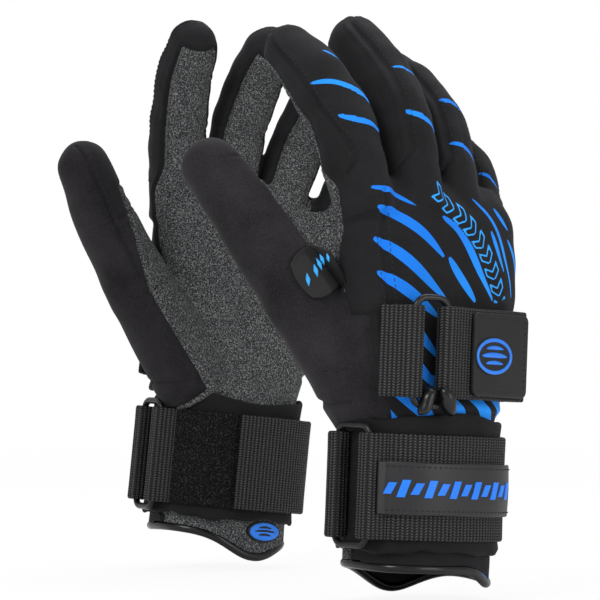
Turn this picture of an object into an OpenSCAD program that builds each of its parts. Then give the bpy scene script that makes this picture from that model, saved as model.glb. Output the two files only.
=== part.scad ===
// A pair of water-ski towing gloves, worn shape, as an assembly of sewn panels, straps, rings and tabs.
// Millimetres. Each glove is laid out in its own hand frame: origin at the wrist centre, +Z to the
// fingers, -X to the thumb side, +Y to the palm. The left glove is the mirror image in Y.

/* [Fabric] */
// thickness of the stretch fabric and palm fabric shells
wall = 2.2; // [1.6:0.1:3]
// play between a moving sleeve and the hand it sits on
sleeve_play = 0.5; // [0.4:0.1:1]
// radius, about each knuckle, at which a finger sleeve starts
sleeve_start = 28; // [25:1:31]

/* [Fingers] */
// length of the index sleeve from the knuckle to the tip dome
index_length = 82; // [76:1:90]
// length of the middle sleeve
middle_length = 84; // [78:1:92]
// length of the ring sleeve
ring_length = 83; // [77:1:91]
// length of the little sleeve
little_length = 72; // [64:1:80]
// half width of the three long fingers at mid length
finger_half_width = 13.2; // [11.5:0.1:13.6]
// half height, back to palm, of the three long fingers
finger_half_height = 13.8; // [12:0.1:14.5]

/* [Thumb] */
// length of the thumb from its root to the tip dome
thumb_length = 114; // [104:1:120]
// half width of the thumb at its middle joint
thumb_half_width = 16.5; // [14:0.5:18]

/* [Hand and wrist] */
// half width of the hand across the knuckles
hand_half_width = 47; // [44:1:50]
// half width of the wrist opening
wrist_half_width = 32; // [29:1:35]
// half height of the wrist opening
wrist_half_height = 26; // [23:1:28]

/* [Straps] */
// width of the wrist webbing, 1 3/4 inch stock
wrist_web = 44; // [38:1:48]
// width of the hand webbing, 1 1/2 inch stock
hand_web = 38; // [32:1:40]
// thickness of the webbing
web_thick = 1.8; // [1.4:0.1:2.2]
// thickness of the bar that the strap rings are bent from
ring_bar = 3; // [2.5:0.5:3.5]
// length of the pull tab of the hand strap
tab_length = 37; // [30:1:42]

/* [Pair] */
// turn of the right glove about its own length
right_turn = 42; // [30:1:50]
// turn of the left glove about its own length
left_turn = 26; // [15:1:35]
// how far the left glove stands to the left of the right one
left_shift = 89; // [80:0.5:110]
// how far the left glove stands behind the right one
left_behind = 185; // [175:1:240]

// how far the left glove stands above the right one
left_lift = 3; // [-20:0.5:20]

/* [Hidden] */

cloth = [0.05, 0.05, 0.055];
heather = [0.22, 0.22, 0.23];
suede = [0.09, 0.085, 0.09];
webbing = [0.07, 0.07, 0.07];
patent = [0.02, 0.02, 0.02];
rubber = [0.03, 0.03, 0.03];
badge_blue = [0.05, 0.3, 0.8];
lip = 0.3;

// sideways place of the wrist
wrist_x = -0.5;
// hand sections: height, centre x, centre y, half width, half height
sections = [
  [-80, wrist_x, 0, wrist_half_width, wrist_half_height],
  [5, wrist_x, 0, wrist_half_width, wrist_half_height],
  [18, -1, -1, wrist_half_width + 6, wrist_half_height - 3],
  [34, -1, -1, hand_half_width - 5, wrist_half_height - 4.5],
  [52, 0, -1, hand_half_width - 2, wrist_half_height - 5],
  [70, 0, 1, hand_half_width, wrist_half_height - 6],
  [90, 0, 3, hand_half_width, wrist_half_height - 7]];
section_power = 2.4;

// knuckle centres, outward lean, and the three bends of each finger in both gloves
knuckles = [[-37, 0, 88], [-11.5, -2, 91], [13, 0, 89], [37, 5, 80]];
leans = [7, 0, -5, -11];
bends_right = [[18, 22, 12], [16, 22, 12], [22, 26, 14], [30, 28, 14]];
bends_left = [[6, 14, 18], [12, 18, 18], [20, 24, 16], [30, 28, 14]];
reach = [index_length, middle_length, ring_length, little_length];
slim = [1, 1, 1, 0.9];
stations = [0, 0.5, 0.8, 1];
widths = [finger_half_width - 0.8, finger_half_width, finger_half_width - 0.4,
  finger_half_width - 1.8];
heights = [finger_half_height, finger_half_height, finger_half_height - 0.8,
  finger_half_height - 2.4];
bend_zone = 8;

thumb_root = [-26, 8, 14];
thumb_way_right = [-0.53, 0.31, 0.82];
thumb_way_left = [-0.67, 0.1, 0.79];
thumb_palm_way = [0.45, 0.75, 0];
thumb_stations = [0, 0.42, 0.76, 1];
thumb_widths = [thumb_half_width + 2.5, thumb_half_width, thumb_half_width - 2.3,
  thumb_half_width - 4.5];
thumb_heights = [thumb_half_width + 1, thumb_half_width - 1.5, thumb_half_width - 3.2,
  thumb_half_width - 5.3];
thumb_start = 22;

// ---------- numbers ----------
function mix(a, b, t) = a + (b - a) * t;
function ease(t) = let(u = max(0, min(1, t))) u * u * (3 - 2 * u);
function unit(v) = v / norm(v);
function table(xs, ys, x, i = 0) =
  i >= len(xs) - 2 || x <= xs[i + 1]
    ? mix(ys[i], ys[i + 1], max(0, min(1, (x - xs[i]) / (xs[i + 1] - xs[i]))))
    : table(xs, ys, x, i + 1);
function column(rows, k) = [for (r = rows) r[k]];
function section_at(z, k) = table(column(sections, 0), column(sections, k), z);

// ---------- digits ----------
// A digit is [root, up, palm way, bends, lengths, total, widths, heights, stations, path]
function bend_at(bends, joints, s) =
  bends[0] + bends[1] * ease((s - joints[0]) / (2 * bend_zone) + 0.5)
    + bends[2] * ease((s - joints[1]) / (2 * bend_zone) + 0.5);
function digit_path(root, up, palm, bends, joints, total) =
  [for (i = 0, p = root; i <= total + 1; i = i + 1,
      p = p + cos(bend_at(bends, joints, i - 0.5)) * up
        + sin(bend_at(bends, joints, i - 0.5)) * palm) p];
function make_digit(root, up, palm, bends, joints, total, ws, hs, sts) =
  [root, up, palm, bends, joints, total, ws, hs, [for (t = sts) t * total],
    digit_path(root, up, palm, bends, joints, total)];
function finger(i, bends) =
  make_digit(knuckles[i], [-sin(leans[i]), 0, cos(leans[i])], [0, 1, 0], bends[i],
    [reach[i] * 0.5, reach[i] * 0.8], reach[i],
    [for (w = widths) w * slim[i]], [for (h = heights) h * slim[i]], stations);
function thumb(way) =
  let(u = unit(way), p = unit(thumb_palm_way - (thumb_palm_way * u) * u))
  make_digit(thumb_root, u, p, [0, 4, 6], [thumb_length * 0.42, thumb_length * 0.76],
    thumb_length, thumb_widths, thumb_heights, thumb_stations);
function digit_side(d) = cross(d[1], d[2]);
function digit_bend(d, s) = bend_at(d[3], d[4], s);
function digit_up(d, s) = cos(digit_bend(d, s)) * d[1] + sin(digit_bend(d, s)) * d[2];
function digit_palm(d, s) = -sin(digit_bend(d, s)) * d[1] + cos(digit_bend(d, s)) * d[2];
function digit_centre(d, s) =
  let(i = max(0, min(len(d[9]) - 2, floor(s)))) mix(d[9][i], d[9][i + 1], s - i);
function digit_point(d, s, angle, inset) =
  digit_centre(d, s)
    + (table(d[8], d[6], s) - inset) * cos(angle) * digit_side(d)
    + (table(d[8], d[7], s) - inset) * sin(angle) * digit_palm(d, s);
// a point of the tip dome, from a unit vector [side, palm, up]
function tip_point(d, v, inset) =
  digit_centre(d, d[5]) + (d[6][3] - inset) * v[0] * digit_side(d)
    + (d[7][3] - inset) * v[1] * digit_palm(d, d[5])
    + (d[7][3] - inset) * v[2] * digit_up(d, d[5]);
// the sleeve starts on a round surface about its knuckle, so that it turns without rubbing
function start_drop(d, angle, inset, start) =
  let(h = (table(d[8], d[7], start) - inset) * sin(angle))
    start - sqrt(start * start - h * h);
function tube_row(d, n, k, from) = from + (d[5] - from) * k / n;
function tube_point(d, n, k, angle, inset, start) =
  digit_point(d, tube_row(d, n, k, start)
    - start_drop(d, angle, inset, start) * max(0, 1 - k / 2), angle, inset);
function slerp(a, b, t) =
  let(g = acos(max(-1, min(1, a * b)))) (sin((1 - t) * g) * a + sin(t * g) * b) / sin(g);

back_seam = 33;
palm_seam = 35;
seam_gap = 1.8;
tube_rows = 7;

function back_angle(j, cols, w) = mix(w - 180, -w, j / (cols - 1));
function back_grid(d, inset, start) =
  let(cols = 7, w = back_seam + seam_gap)
  concat(
    [for (k = [0:tube_rows]) [for (j = [0:cols - 1])
      tube_point(d, tube_rows, k, back_angle(j, cols, w), inset, start)]],
    [for (k = [1:3])
      let(edge = mix(w, 68, k / 3), rise = acos(sin(w) / sin(edge)), last = acos(sin(w) / sin(68)))
      [for (j = [0:cols - 1])
        let(a = back_angle(j, cols, edge), e = back_angle(j, cols, 68),
          lift = rise + k * k / 9 * (acos(sin(w) / -sin(e)) - last))
        tip_point(d, [cos(lift) * cos(a), cos(lift) * sin(a), sin(lift)], inset)]]);
function palm_grid(d, inset, start) =
  let(cols = 5, w = palm_seam + seam_gap)
  [for (k = [0:tube_rows]) [for (j = [0:cols - 1])
    let(a = mix(w, 180 - w, j / (cols - 1)))
    k == tube_rows ? digit_point(d, d[5] - 0.5, a, inset)
      : tube_point(d, tube_rows, k, a, inset, start)]];
function gusset_grid(d, inset, start) =
  let(cols = 5)
  concat(
    [for (k = [0:tube_rows]) [for (j = [0:cols - 1])
      tube_point(d, tube_rows, k, mix(-back_seam, palm_seam, j / (cols - 1)), inset, start)]],
    [for (k = [1:7])
      let(a = 180 * k / 8, p = mix(palm_seam, 180 - palm_seam, k / 8),
        from = [cos(back_seam) * cos(a), -sin(back_seam), cos(back_seam) * sin(a)],
        to = [cos(p), sin(p), 0])
      [for (j = [0:cols - 1]) tip_point(d, slerp(from, to, j / (cols - 1)), inset)]],
    [for (k = [tube_rows:-1:0]) [for (j = [0:cols - 1])
      tube_point(d, tube_rows, k, 180 - mix(-back_seam, palm_seam, j / (cols - 1)),
        inset, start)]]);

// ---------- solids from grids ----------
// A closed sheet between an outer and an inner grid of points.
module sheet(outer, inner) {
  r = len(outer);
  c = len(outer[0]);
  n = r * c;
  edge = concat([for (j = [0:c - 1]) j], [for (i = [1:r - 1]) i * c + c - 1],
    [for (j = [c - 2:-1:0]) (r - 1) * c + j], [for (i = [r - 2:-1:1]) i * c]);
  polyhedron(
    [for (g = [outer, inner]) for (row = g) for (p = row) p],
    concat(
      [for (i = [0:r - 2]) for (j = [0:c - 2]) [i * c + j, i * c + j + 1, (i + 1) * c + j + 1]],
      [for (i = [0:r - 2]) for (j = [0:c - 2]) [i * c + j, (i + 1) * c + j + 1, (i + 1) * c + j]],
      [for (i = [0:r - 2]) for (j = [0:c - 2])
        [n + i * c + j, n + (i + 1) * c + j + 1, n + i * c + j + 1]],
      [for (i = [0:r - 2]) for (j = [0:c - 2])
        [n + i * c + j, n + (i + 1) * c + j, n + (i + 1) * c + j + 1]],
      [for (k = [0:len(edge) - 1]) let(a = edge[k], b = edge[(k + 1) % len(edge)])
        [b, a, n + a]],
      [for (k = [0:len(edge) - 1]) let(a = edge[k], b = edge[(k + 1) % len(edge)])
        [b, n + a, n + b]]));
}

// A closed tube wall between an outer and an inner stack of full rings, open at both ends.
module tube_wall(outer, inner) {
  r = len(outer);
  c = len(outer[0]);
  n = r * c;
  polyhedron(
    [for (g = [outer, inner]) for (row = g) for (p = row) p],
    concat(
      [for (i = [0:r - 2]) for (j = [0:c - 1]) let(m = (j + 1) % c)
        [i * c + j, i * c + m, (i + 1) * c + m]],
      [for (i = [0:r - 2]) for (j = [0:c - 1]) let(m = (j + 1) % c)
        [i * c + j, (i + 1) * c + m, (i + 1) * c + j]],
      [for (i = [0:r - 2]) for (j = [0:c - 1]) let(m = (j + 1) % c)
        [n + i * c + j, n + (i + 1) * c + m, n + i * c + m]],
      [for (i = [0:r - 2]) for (j = [0:c - 1]) let(m = (j + 1) % c)
        [n + i * c + j, n + (i + 1) * c + j, n + (i + 1) * c + m]],
      [for (j = [0:c - 1]) let(m = (j + 1) % c) [m, j, n + j]],
      [for (j = [0:c - 1]) let(m = (j + 1) % c) [m, n + j, n + m]],
      [for (j = [0:c - 1]) let(m = (j + 1) % c, t = (r - 1) * c) [t + j, t + m, n + t + j]],
      [for (j = [0:c - 1]) let(m = (j + 1) % c, t = (r - 1) * c)
        [t + m, n + t + m, n + t + j]]));
}

// A solid stack of full rings with flat ends.
module stack(rings) {
  r = len(rings);
  c = len(rings[0]);
  polyhedron([for (row = rings) for (p = row) p],
    concat(
      [for (i = [0:r - 2]) for (j = [0:c - 1]) let(m = (j + 1) % c)
        [i * c + j, i * c + m, (i + 1) * c + m]],
      [for (i = [0:r - 2]) for (j = [0:c - 1]) let(m = (j + 1) % c)
        [i * c + j, (i + 1) * c + m, (i + 1) * c + j]],
      [for (j = [1:c - 2]) [0, j + 1, j]],
      [for (j = [1:c - 2]) let(t = (r - 1) * c) [t, t + j, t + j + 1]]));
}

// A closed ring of round cord along a closed run of points.
module cord_loop(points, radius, sides = 6) {
  n = len(points);
  rings = [for (i = [0:n - 1])
    let(t = unit(points[(i + 1) % n] - points[(i + n - 1) % n]),
      a = unit([t[1], -t[0], 0]), b = cross(t, a))
    [for (j = [0:sides - 1]) let(q = 360 * j / sides)
      points[i] + radius * (cos(q) * a + sin(q) * b)]];
  polyhedron([for (r = rings) for (p = r) p],
    concat(
      [for (i = [0:n - 1]) for (j = [0:sides - 1])
        let(k = (i + 1) % n, m = (j + 1) % sides) [i * sides + j, k * sides + m, i * sides + m]],
      [for (i = [0:n - 1]) for (j = [0:sides - 1])
        let(k = (i + 1) % n, m = (j + 1) % sides) [i * sides + j, k * sides + j, k * sides + m]]));
}

// ---------- the hand of the glove ----------
seam_angles = [[0, 1], [0, 30], [0, 60], [0, 90], [0, 120], [0, 152],
  [1, 28], [1, 60], [1, 90], [1, 120], [1, 152],
  [2, 28], [2, 60], [2, 90], [2, 120], [2, 152],
  [3, 28], [3, 60], [3, 90], [3, 120], [3, 150], [3, 179]];
hand_heights = [-44, -28, -12, 4, 14, 24, 34, 44, 55, 66, 77];

function rim_point(bends, k, sgn, inset) =
  let(d = finger(k[0], bends), start = sleeve_start - sleeve_play,
    h = (table(d[8], d[7], start) - inset) * sin(k[1]))
  digit_point(d, sqrt(start * start - h * h), sgn * k[1], inset);
function across(bends, k) =
  let(x0 = rim_point(bends, seam_angles[0], 1, 0)[0],
    x1 = rim_point(bends, seam_angles[21], 1, 0)[0])
  2 * (rim_point(bends, k, 1, 0)[0] - x0) / (x1 - x0) - 1;
function bulge(f) = pow(max(0, 1 - pow(abs(f), section_power)), 1 / section_power);
function section_point(z, f, sgn, out) =
  [section_at(z, 1) + (section_at(z, 3) + out) * f,
    section_at(z, 2) + sgn * (lip / 2 + (section_at(z, 4) + out) * bulge(f)), z];
// the cuff dips into a pull tongue on the little finger side
function hem(f, sgn) =
  sgn > 0 ? -57 - 11 * exp(-pow((f - 0.3) / 0.6, 2)) : -58 - 6 * exp(-pow((f - 0.75) / 0.35, 2));
function blend_point(p, tp, q, tq, t) =
  (2 * t * t * t - 3 * t * t + 1) * p + (t * t * t - 2 * t * t + t) * tp
    + (3 * t * t - 2 * t * t * t) * q + (t * t * t - t * t) * tq;
function hand_row(bends, i, sgn, inset, cols) =
  let(n = len(hand_heights))
  [for (k = cols) let(f = across(bends, k))
    i == 0 ? section_point(hem(f, sgn), f, sgn, -inset)
    : i <= n ? section_point(hand_heights[i - 1], f, sgn, -inset)
    : let(top = rim_point(bends, k, sgn, inset), t = (i - n) / 4,
        way = digit_up(finger(k[0], bends), sleeve_start))
      blend_point(section_point(hand_heights[n - 1], f, sgn, -inset), [0, 0, 34], top,
        34 * way, t)];
function hand_grid(bends, sgn, inset) =
  let(cols = sgn > 0 ? seam_angles : [for (i = [21:-1:0]) seam_angles[i]])
  [for (i = [0:len(hand_heights) + 4]) hand_row(bends, i, sgn, inset, cols)];
function hand_ring_row(bends, i, out) =
  concat(hand_row(bends, i, 1, -out, seam_angles),
    hand_row(bends, i, -1, -out, [for (k = [21:-1:0]) seam_angles[k]]));
module hand_core(bends, out) {
  stack([for (i = [1:len(hand_heights) + 3]) hand_ring_row(bends, i, out)]);
}

function thumb_ring(d, s, out, cut) =
  [for (j = [0:19]) let(a = 18 * j, h = (table(d[8], d[7], s) + out) * sin(a),
      drop = cut == 0 ? 0 : cut - sqrt(cut * cut - h * h))
    digit_point(d, s - drop, a, -out)];
function thumb_joint(d) = thumb_length * 0.42;
function thumb_rows(d, from, to, n) = [for (k = [0:n]) mix(from, to, k / n)];
module thumb_core(d, out) {
  stack([for (s = thumb_rows(d, -14, 60, 6)) thumb_ring(d, s, out, 0)]);
}
module thumb_base_tube(d) {
  last = thumb_joint(d) + thumb_start - sleeve_play;
  rows = concat(thumb_rows(d, -12, last - 12, 6), [last - 5, last]);
  cuts = [0, 0, 0, 0, 0, 0, 0, 0, thumb_start - sleeve_play];
  tube_wall([for (k = [0:8]) thumb_ring(d, rows[k], 0, cuts[k])],
    [for (k = [0:8]) thumb_ring(d, rows[k], -wall, cuts[k])]);
}
function thumb_tip_grid(d, inset) =
  let(first = thumb_joint(d) + thumb_start, n = 4)
  concat(
    [for (k = [0:n]) [for (j = [0:19])
      let(a = 18 * j, h = (table(d[8], d[7], first) - inset) * sin(a),
        drop = (thumb_start - sqrt(thumb_start * thumb_start - h * h)) * max(0, 1 - k / 2))
      digit_point(d, mix(first, d[5], k / n) - drop, a, inset)]],
    [for (k = [1:3]) [for (j = [0:19]) let(a = 18 * j, e = 27 * k)
      tip_point(d, [cos(e) * cos(a), cos(e) * sin(a), sin(e)], inset)]]);

// a sleeve closed at its tip
module cap_sleeve(outer, inner) {
  r = len(outer);
  c = len(outer[0]);
  n = r * c;
  t = (r - 1) * c;
  polyhedron(
    [for (g = [outer, inner]) for (row = g) for (p = row) p],
    concat(
      [for (i = [0:r - 2]) for (j = [0:c - 1]) let(m = (j + 1) % c)
        [i * c + j, i * c + m, (i + 1) * c + m]],
      [for (i = [0:r - 2]) for (j = [0:c - 1]) let(m = (j + 1) % c)
        [i * c + j, (i + 1) * c + m, (i + 1) * c + j]],
      [for (i = [0:r - 2]) for (j = [0:c - 1]) let(m = (j + 1) % c)
        [n + i * c + j, n + (i + 1) * c + m, n + i * c + m]],
      [for (i = [0:r - 2]) for (j = [0:c - 1]) let(m = (j + 1) % c)
        [n + i * c + j, n + (i + 1) * c + j, n + (i + 1) * c + m]],
      [for (j = [0:c - 1]) let(m = (j + 1) % c) [m, j, n + j]],
      [for (j = [0:c - 1]) let(m = (j + 1) % c) [m, n + j, n + m]],
      [for (j = [1:c - 2]) [t, t + j, t + j + 1]],
      [for (j = [1:c - 2]) [n + t, n + t + j + 1, n + t + j]]));
}

// ---------- wrist bands, drawn as outlines in plan and raised along the wrist ----------
layer_wrap = [0.3, 2.3];
layer_one = [2.6, 2.6 + web_thick];
layer_two = [2.9 + web_thick, 2.9 + 2 * web_thick];
wrist_low = -48;
ring_x = wrist_x - wrist_half_width - 6.2;
ring_y = 9.5;
function power(c, q) = (c < 0 ? -1 : 1) * pow(abs(c), q);
function wrist_point(a, out) =
  [wrist_x - (wrist_half_width + out) * power(cos(a), 2 / section_power),
    (wrist_half_height + out) * power(sin(a), 2 / section_power)];
function band_outline(from, to, n, layer) =
  concat([for (k = [0:n]) wrist_point(mix(from, to, k / n), layer[1])],
    [for (k = [n:-1:0]) wrist_point(mix(from, to, k / n), layer[0])]);
function full_outline(out) = [for (k = [0:47]) wrist_point(7.5 * k, out)];
function box_outline(x, y, hx, hy) =
  [[x - hx, y - hy], [x + hx, y - hy], [x + hx, y + hy], [x - hx, y + hy]];
function round_box(hx, hy, r) =
  [for (q = [0:3]) for (k = [0:6]) let(a = 90 * q + 15 * k,
      sx = q == 0 || q == 3 ? 1 : -1, sy = q < 2 ? 1 : -1)
    [sx * (hx - r) + r * cos(a), sy * (hy - r) + r * sin(a)]];

module wrist_band(from, to, n, layer, low, high) {
  translate([0, 0, low]) linear_extrude(height = high - low)
    polygon(band_outline(from, to, n, layer));
}
// webbing along the wrist that ends folded back round one bar of the wrist ring
function fold_corner(side, x, y) = [ring_x + x, side * (ring_y + y)];
function folded_outline(side, far, n) =
  let(o = 1.8 + web_thick, near = side * 26)
  concat([for (k = [0:n]) wrist_point(mix(far, near, k / n), layer_one[1])],
    [fold_corner(side, -o, o), fold_corner(side, -o, -o), fold_corner(side, o, -o),
      fold_corner(side, o, 1.2), fold_corner(side, 1.8, 1.2), fold_corner(side, 1.8, -1.8),
      fold_corner(side, -1.8, -1.8), fold_corner(side, -1.8, 1.8)],
    [for (k = [n:-1:0]) wrist_point(mix(far, near, k / n), layer_one[0])]);
module strap_ring(hx, hz, bar) {
  // flat frame bent from square bar, standing in its own X-Z plane
  translate([0, bar / 2, 0]) rotate([90, 0, 0]) linear_extrude(height = bar) difference() {
    polygon(round_box(hx + bar, hz + bar, 4));
    polygon(round_box(hx, hz, 1.5));
  }
}

// ---------- hand strap ----------
frame_at = [-23, -27];
frame_turn = -15;
frame_half = 6;
strap_low = 11;
bar_out = frame_half + ring_bar / 2;
tab_at = [-5, -31.8];
tab_turn = 8;
function turned(p, a) = [p[0] * cos(a) - p[1] * sin(a), p[0] * sin(a) + p[1] * cos(a)];
function frame_point(p) = turned(p, frame_turn) + frame_at;
bar_axis = frame_point([bar_out, 0]);
eye_in = ring_bar * 0.71 + 0.25;
eye_out = eye_in + web_thick;

anchor_hook = [[-bar_out - 3.6, 0], [-bar_out - 3.6, -3.6], [-bar_out + 3.6, -3.6],
  [-bar_out + 3.6, 3.6], [-bar_out - 1, 3.6], [-bar_out - 1, 1.8], [-bar_out + 1.8, 1.8],
  [-bar_out + 1.8, -1.8], [-bar_out - 1.8, -1.8], [-bar_out - 1.8, 1]];
anchor_outline = concat([[-41, -15.6]], [for (p = anchor_hook) frame_point(p)],
  [[-40.2, -13.9]]);
tail_arc = [for (k = [0:17]) -90 + frame_turn - 15 * k];
tail_far = tab_at + turned([tab_length + 2, 0], tab_turn);
tail_outline = concat([tail_far, tab_at],
  [for (a = tail_arc) bar_axis + eye_out * [cos(a), sin(a)]],
  [for (k = [17:-1:0]) bar_axis + eye_in * [cos(tail_arc[k]), sin(tail_arc[k])]],
  [tab_at + turned([0, web_thick], tab_turn / 2), tail_far + turned([0, web_thick], tab_turn)]);
function strap_grid(out) =
  [for (z = [strap_low, 14, 24, 34, 44, strap_low + hand_web])
    [for (k = [14:-1:0]) section_point(z, mix(-0.1, 0.985, k / 14), -1, out)]];

// ---------- thumb crotch patch ----------
patch_way = unit([-0.35, -0.93, 0.1]);
function patch_grid(d, out) =
  [for (k = [0:4]) let(t = k / 4, z = mix(50, 70, t), s = mix(44, 62, t),
      lead = 1 - 0.3 * pow(2 * t - 1, 4),
      b = section_point(z, -0.95, -1, 0.9), e = digit_point(d, s, -140, -0.8),
      g = digit_point(d, s, -118, -0.8), h = digit_point(d, s, mix(-118, -80, lead), -0.8))
    [for (p = [h, g, e, mix(e, b, 0.4 * lead)]) p + out * patch_way]];

// ---------- one glove ----------
module hand_back(bends, way) {
  color(cloth) resize([0, 0, 0]) difference() {
    sheet(hand_grid(bends, -1, 0), hand_grid(bends, -1, wall));
    thumb_core(thumb(way), 0.2);
  }
}
module hand_palm(bends, way) {
  color(heather) resize([0, 0, 0]) difference() {
    sheet(hand_grid(bends, 1, 0), hand_grid(bends, 1, wall));
    thumb_core(thumb(way), 0.2);
  }
}
module finger_back(bends, i) {
  color(cloth) sheet(back_grid(finger(i, bends), 0, sleeve_start),
    back_grid(finger(i, bends), wall, sleeve_start));
}
module finger_gusset(bends, i) {
  color(cloth) sheet(gusset_grid(finger(i, bends), 0, sleeve_start),
    gusset_grid(finger(i, bends), wall, sleeve_start));
}
module finger_palm(bends, i) {
  color(heather) sheet(palm_grid(finger(i, bends), 0, sleeve_start),
    palm_grid(finger(i, bends), wall, sleeve_start));
}
module thumb_base(bends, way) {
  color(suede) resize([0, 0, 0]) difference() {
    thumb_base_tube(thumb(way));
    hand_core(bends, 0.15);
    translate([-120, -120, -80]) cube([240, 240, 84.4]);
  }
}
module thumb_tip(way) {
  color(suede) cap_sleeve(thumb_tip_grid(thumb(way), 0), thumb_tip_grid(thumb(way), wall));
}
module thumb_patch(way) {
  color(rubber) sheet(patch_grid(thumb(way), 1.4), patch_grid(thumb(way), 0));
}
module wrist_wrap() {
  color(cloth) translate([0, 0, -53]) linear_extrude(height = 57) difference() {
    polygon(full_outline(layer_wrap[1]));
    polygon(full_outline(layer_wrap[0]));
  }
}
module edge_binding(bends) {
  color(patent) {
    cord_loop([for (k = [0:43]) let(sgn = k < 22 ? 1 : -1, j = k < 22 ? k : 43 - k,
        f = across(bends, seam_angles[j]))
      section_point(hem(f, sgn) - 2.1, f, sgn, -wall / 2)], 1.6);
    for (s = [-1, 1]) translate([-1.6 + s * 5.5, -28.5, 7.2]) rotate([0, s * 75, 0]) {
      cylinder(h = 6, r = 2.2, center = true, $fn = 32);
      translate([0, 0, 3]) sphere(r = 2.2, $fn = 32);
      translate([0, 0, -3]) sphere(r = 2.2, $fn = 32);
    }
  }
}
module strap_anchor() {
  color(webbing) translate([0, 0, strap_low]) linear_extrude(height = hand_web) polygon(anchor_outline);
}
module hand_ring() {
  color(patent) translate([frame_at[0], frame_at[1], strap_low + hand_web / 2])
    rotate([0, 0, frame_turn]) strap_ring(frame_half, hand_web / 2 + 1.8, ring_bar);
}
module hand_strap() {
  color(webbing) sheet(strap_grid(0.7 + web_thick), strap_grid(0.7));
}
module hand_strap_tail() {
  color(webbing) translate([0, 0, strap_low]) linear_extrude(height = hand_web) polygon(tail_outline);
}
module pull_tab() {
  color(rubber) translate([tab_at[0], tab_at[1], strap_low + hand_web / 2])
    rotate([0, 0, tab_turn]) translate([tab_length / 2 + 0.5, -0.05, 0]) rotate([90, 0, 0])
    linear_extrude(height = 2.8) polygon(round_box(tab_length / 2, hand_web / 2 - 1.6, 2.5));
}
module tab_badge() {
  color(badge_blue) translate([tab_at[0], tab_at[1], strap_low + hand_web / 2])
    rotate([0, 0, tab_turn]) translate([tab_length / 2, -2.9, -1]) rotate([90, 0, 0])
    cylinder(h = 1, r = 8, $fn = 64);
}
module pile_strip() {
  color(webbing) translate([0, 0, wrist_low]) linear_extrude(height = wrist_web)
    polygon(folded_outline(1, 150, 20));
}
module wrist_ring() {
  color(patent) translate([ring_x, 0, wrist_low + wrist_web / 2]) rotate([0, 0, 90])
    strap_ring(ring_y - ring_bar / 2, wrist_web / 2 + 1.2, ring_bar);
}
module wrist_strap() {
  color(webbing) translate([0, 0, wrist_low]) linear_extrude(height = wrist_web)
    polygon(folded_outline(-1, -174, 24));
}
module wrist_strap_end() {
  color(webbing) wrist_band(181, 82, 17, layer_two, wrist_low, wrist_low + wrist_web);
}
module label_panel() {
  color(rubber) wrist_band(-25, -148, 20, [layer_two[0], layer_two[0] + 1.2],
    wrist_low + 10.5, wrist_low + 32.5);
}

module place_right() {
  rotate([0, 3, right_turn]) translate([2, 0, 66]) children();
}
module place_left() {
  translate([-left_shift, left_behind, left_lift]) rotate([0, 6, left_turn])
    translate([2, 0, 66]) mirror([0, 1, 0]) children();
}

// ---------- the right glove ----------
module right_hand_back() {
  place_right() hand_back(bends_right, thumb_way_right);
}
module right_hand_palm() {
  place_right() hand_palm(bends_right, thumb_way_right);
}
module right_index_back() {
  place_right() finger_back(bends_right, 0);
}
module right_index_gusset() {
  place_right() finger_gusset(bends_right, 0);
}
module right_index_palm() {
  place_right() finger_palm(bends_right, 0);
}
module right_middle_back() {
  place_right() finger_back(bends_right, 1);
}
module right_middle_gusset() {
  place_right() finger_gusset(bends_right, 1);
}
module right_middle_palm() {
  place_right() finger_palm(bends_right, 1);
}
module right_ring_back() {
  place_right() finger_back(bends_right, 2);
}
module right_ring_gusset() {
  place_right() finger_gusset(bends_right, 2);
}
module right_ring_palm() {
  place_right() finger_palm(bends_right, 2);
}
module right_little_back() {
  place_right() finger_back(bends_right, 3);
}
module right_little_gusset() {
  place_right() finger_gusset(bends_right, 3);
}
module right_little_palm() {
  place_right() finger_palm(bends_right, 3);
}
module right_thumb_base() {
  place_right() thumb_base(bends_right, thumb_way_right);
}
module right_thumb_tip() {
  place_right() thumb_tip(thumb_way_right);
}
module right_thumb_patch() {
  place_right() thumb_patch(thumb_way_right);
}
module right_wrist_wrap() {
  place_right() wrist_wrap();
}
module right_edge_binding() {
  place_right() edge_binding(bends_right);
}
module right_strap_anchor() {
  place_right() strap_anchor();
}
module right_hand_ring() {
  place_right() hand_ring();
}
module right_hand_strap() {
  place_right() hand_strap();
}
module right_hand_strap_tail() {
  place_right() hand_strap_tail();
}
module right_pull_tab() {
  place_right() pull_tab();
}
module right_tab_badge() {
  place_right() tab_badge();
}
module right_pile_strip() {
  place_right() pile_strip();
}
module right_wrist_ring() {
  place_right() wrist_ring();
}
module right_wrist_strap() {
  place_right() wrist_strap();
}
module right_wrist_strap_end() {
  place_right() wrist_strap_end();
}
module right_label_panel() {
  place_right() label_panel();
}

// ---------- the left glove ----------
module left_hand_back() {
  place_left() hand_back(bends_left, thumb_way_left);
}
module left_hand_palm() {
  place_left() hand_palm(bends_left, thumb_way_left);
}
module left_index_back() {
  place_left() finger_back(bends_left, 0);
}
module left_index_gusset() {
  place_left() finger_gusset(bends_left, 0);
}
module left_index_palm() {
  place_left() finger_palm(bends_left, 0);
}
module left_middle_back() {
  place_left() finger_back(bends_left, 1);
}
module left_middle_gusset() {
  place_left() finger_gusset(bends_left, 1);
}
module left_middle_palm() {
  place_left() finger_palm(bends_left, 1);
}
module left_ring_back() {
  place_left() finger_back(bends_left, 2);
}
module left_ring_gusset() {
  place_left() finger_gusset(bends_left, 2);
}
module left_ring_palm() {
  place_left() finger_palm(bends_left, 2);
}
module left_little_back() {
  place_left() finger_back(bends_left, 3);
}
module left_little_gusset() {
  place_left() finger_gusset(bends_left, 3);
}
module left_little_palm() {
  place_left() finger_palm(bends_left, 3);
}
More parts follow.
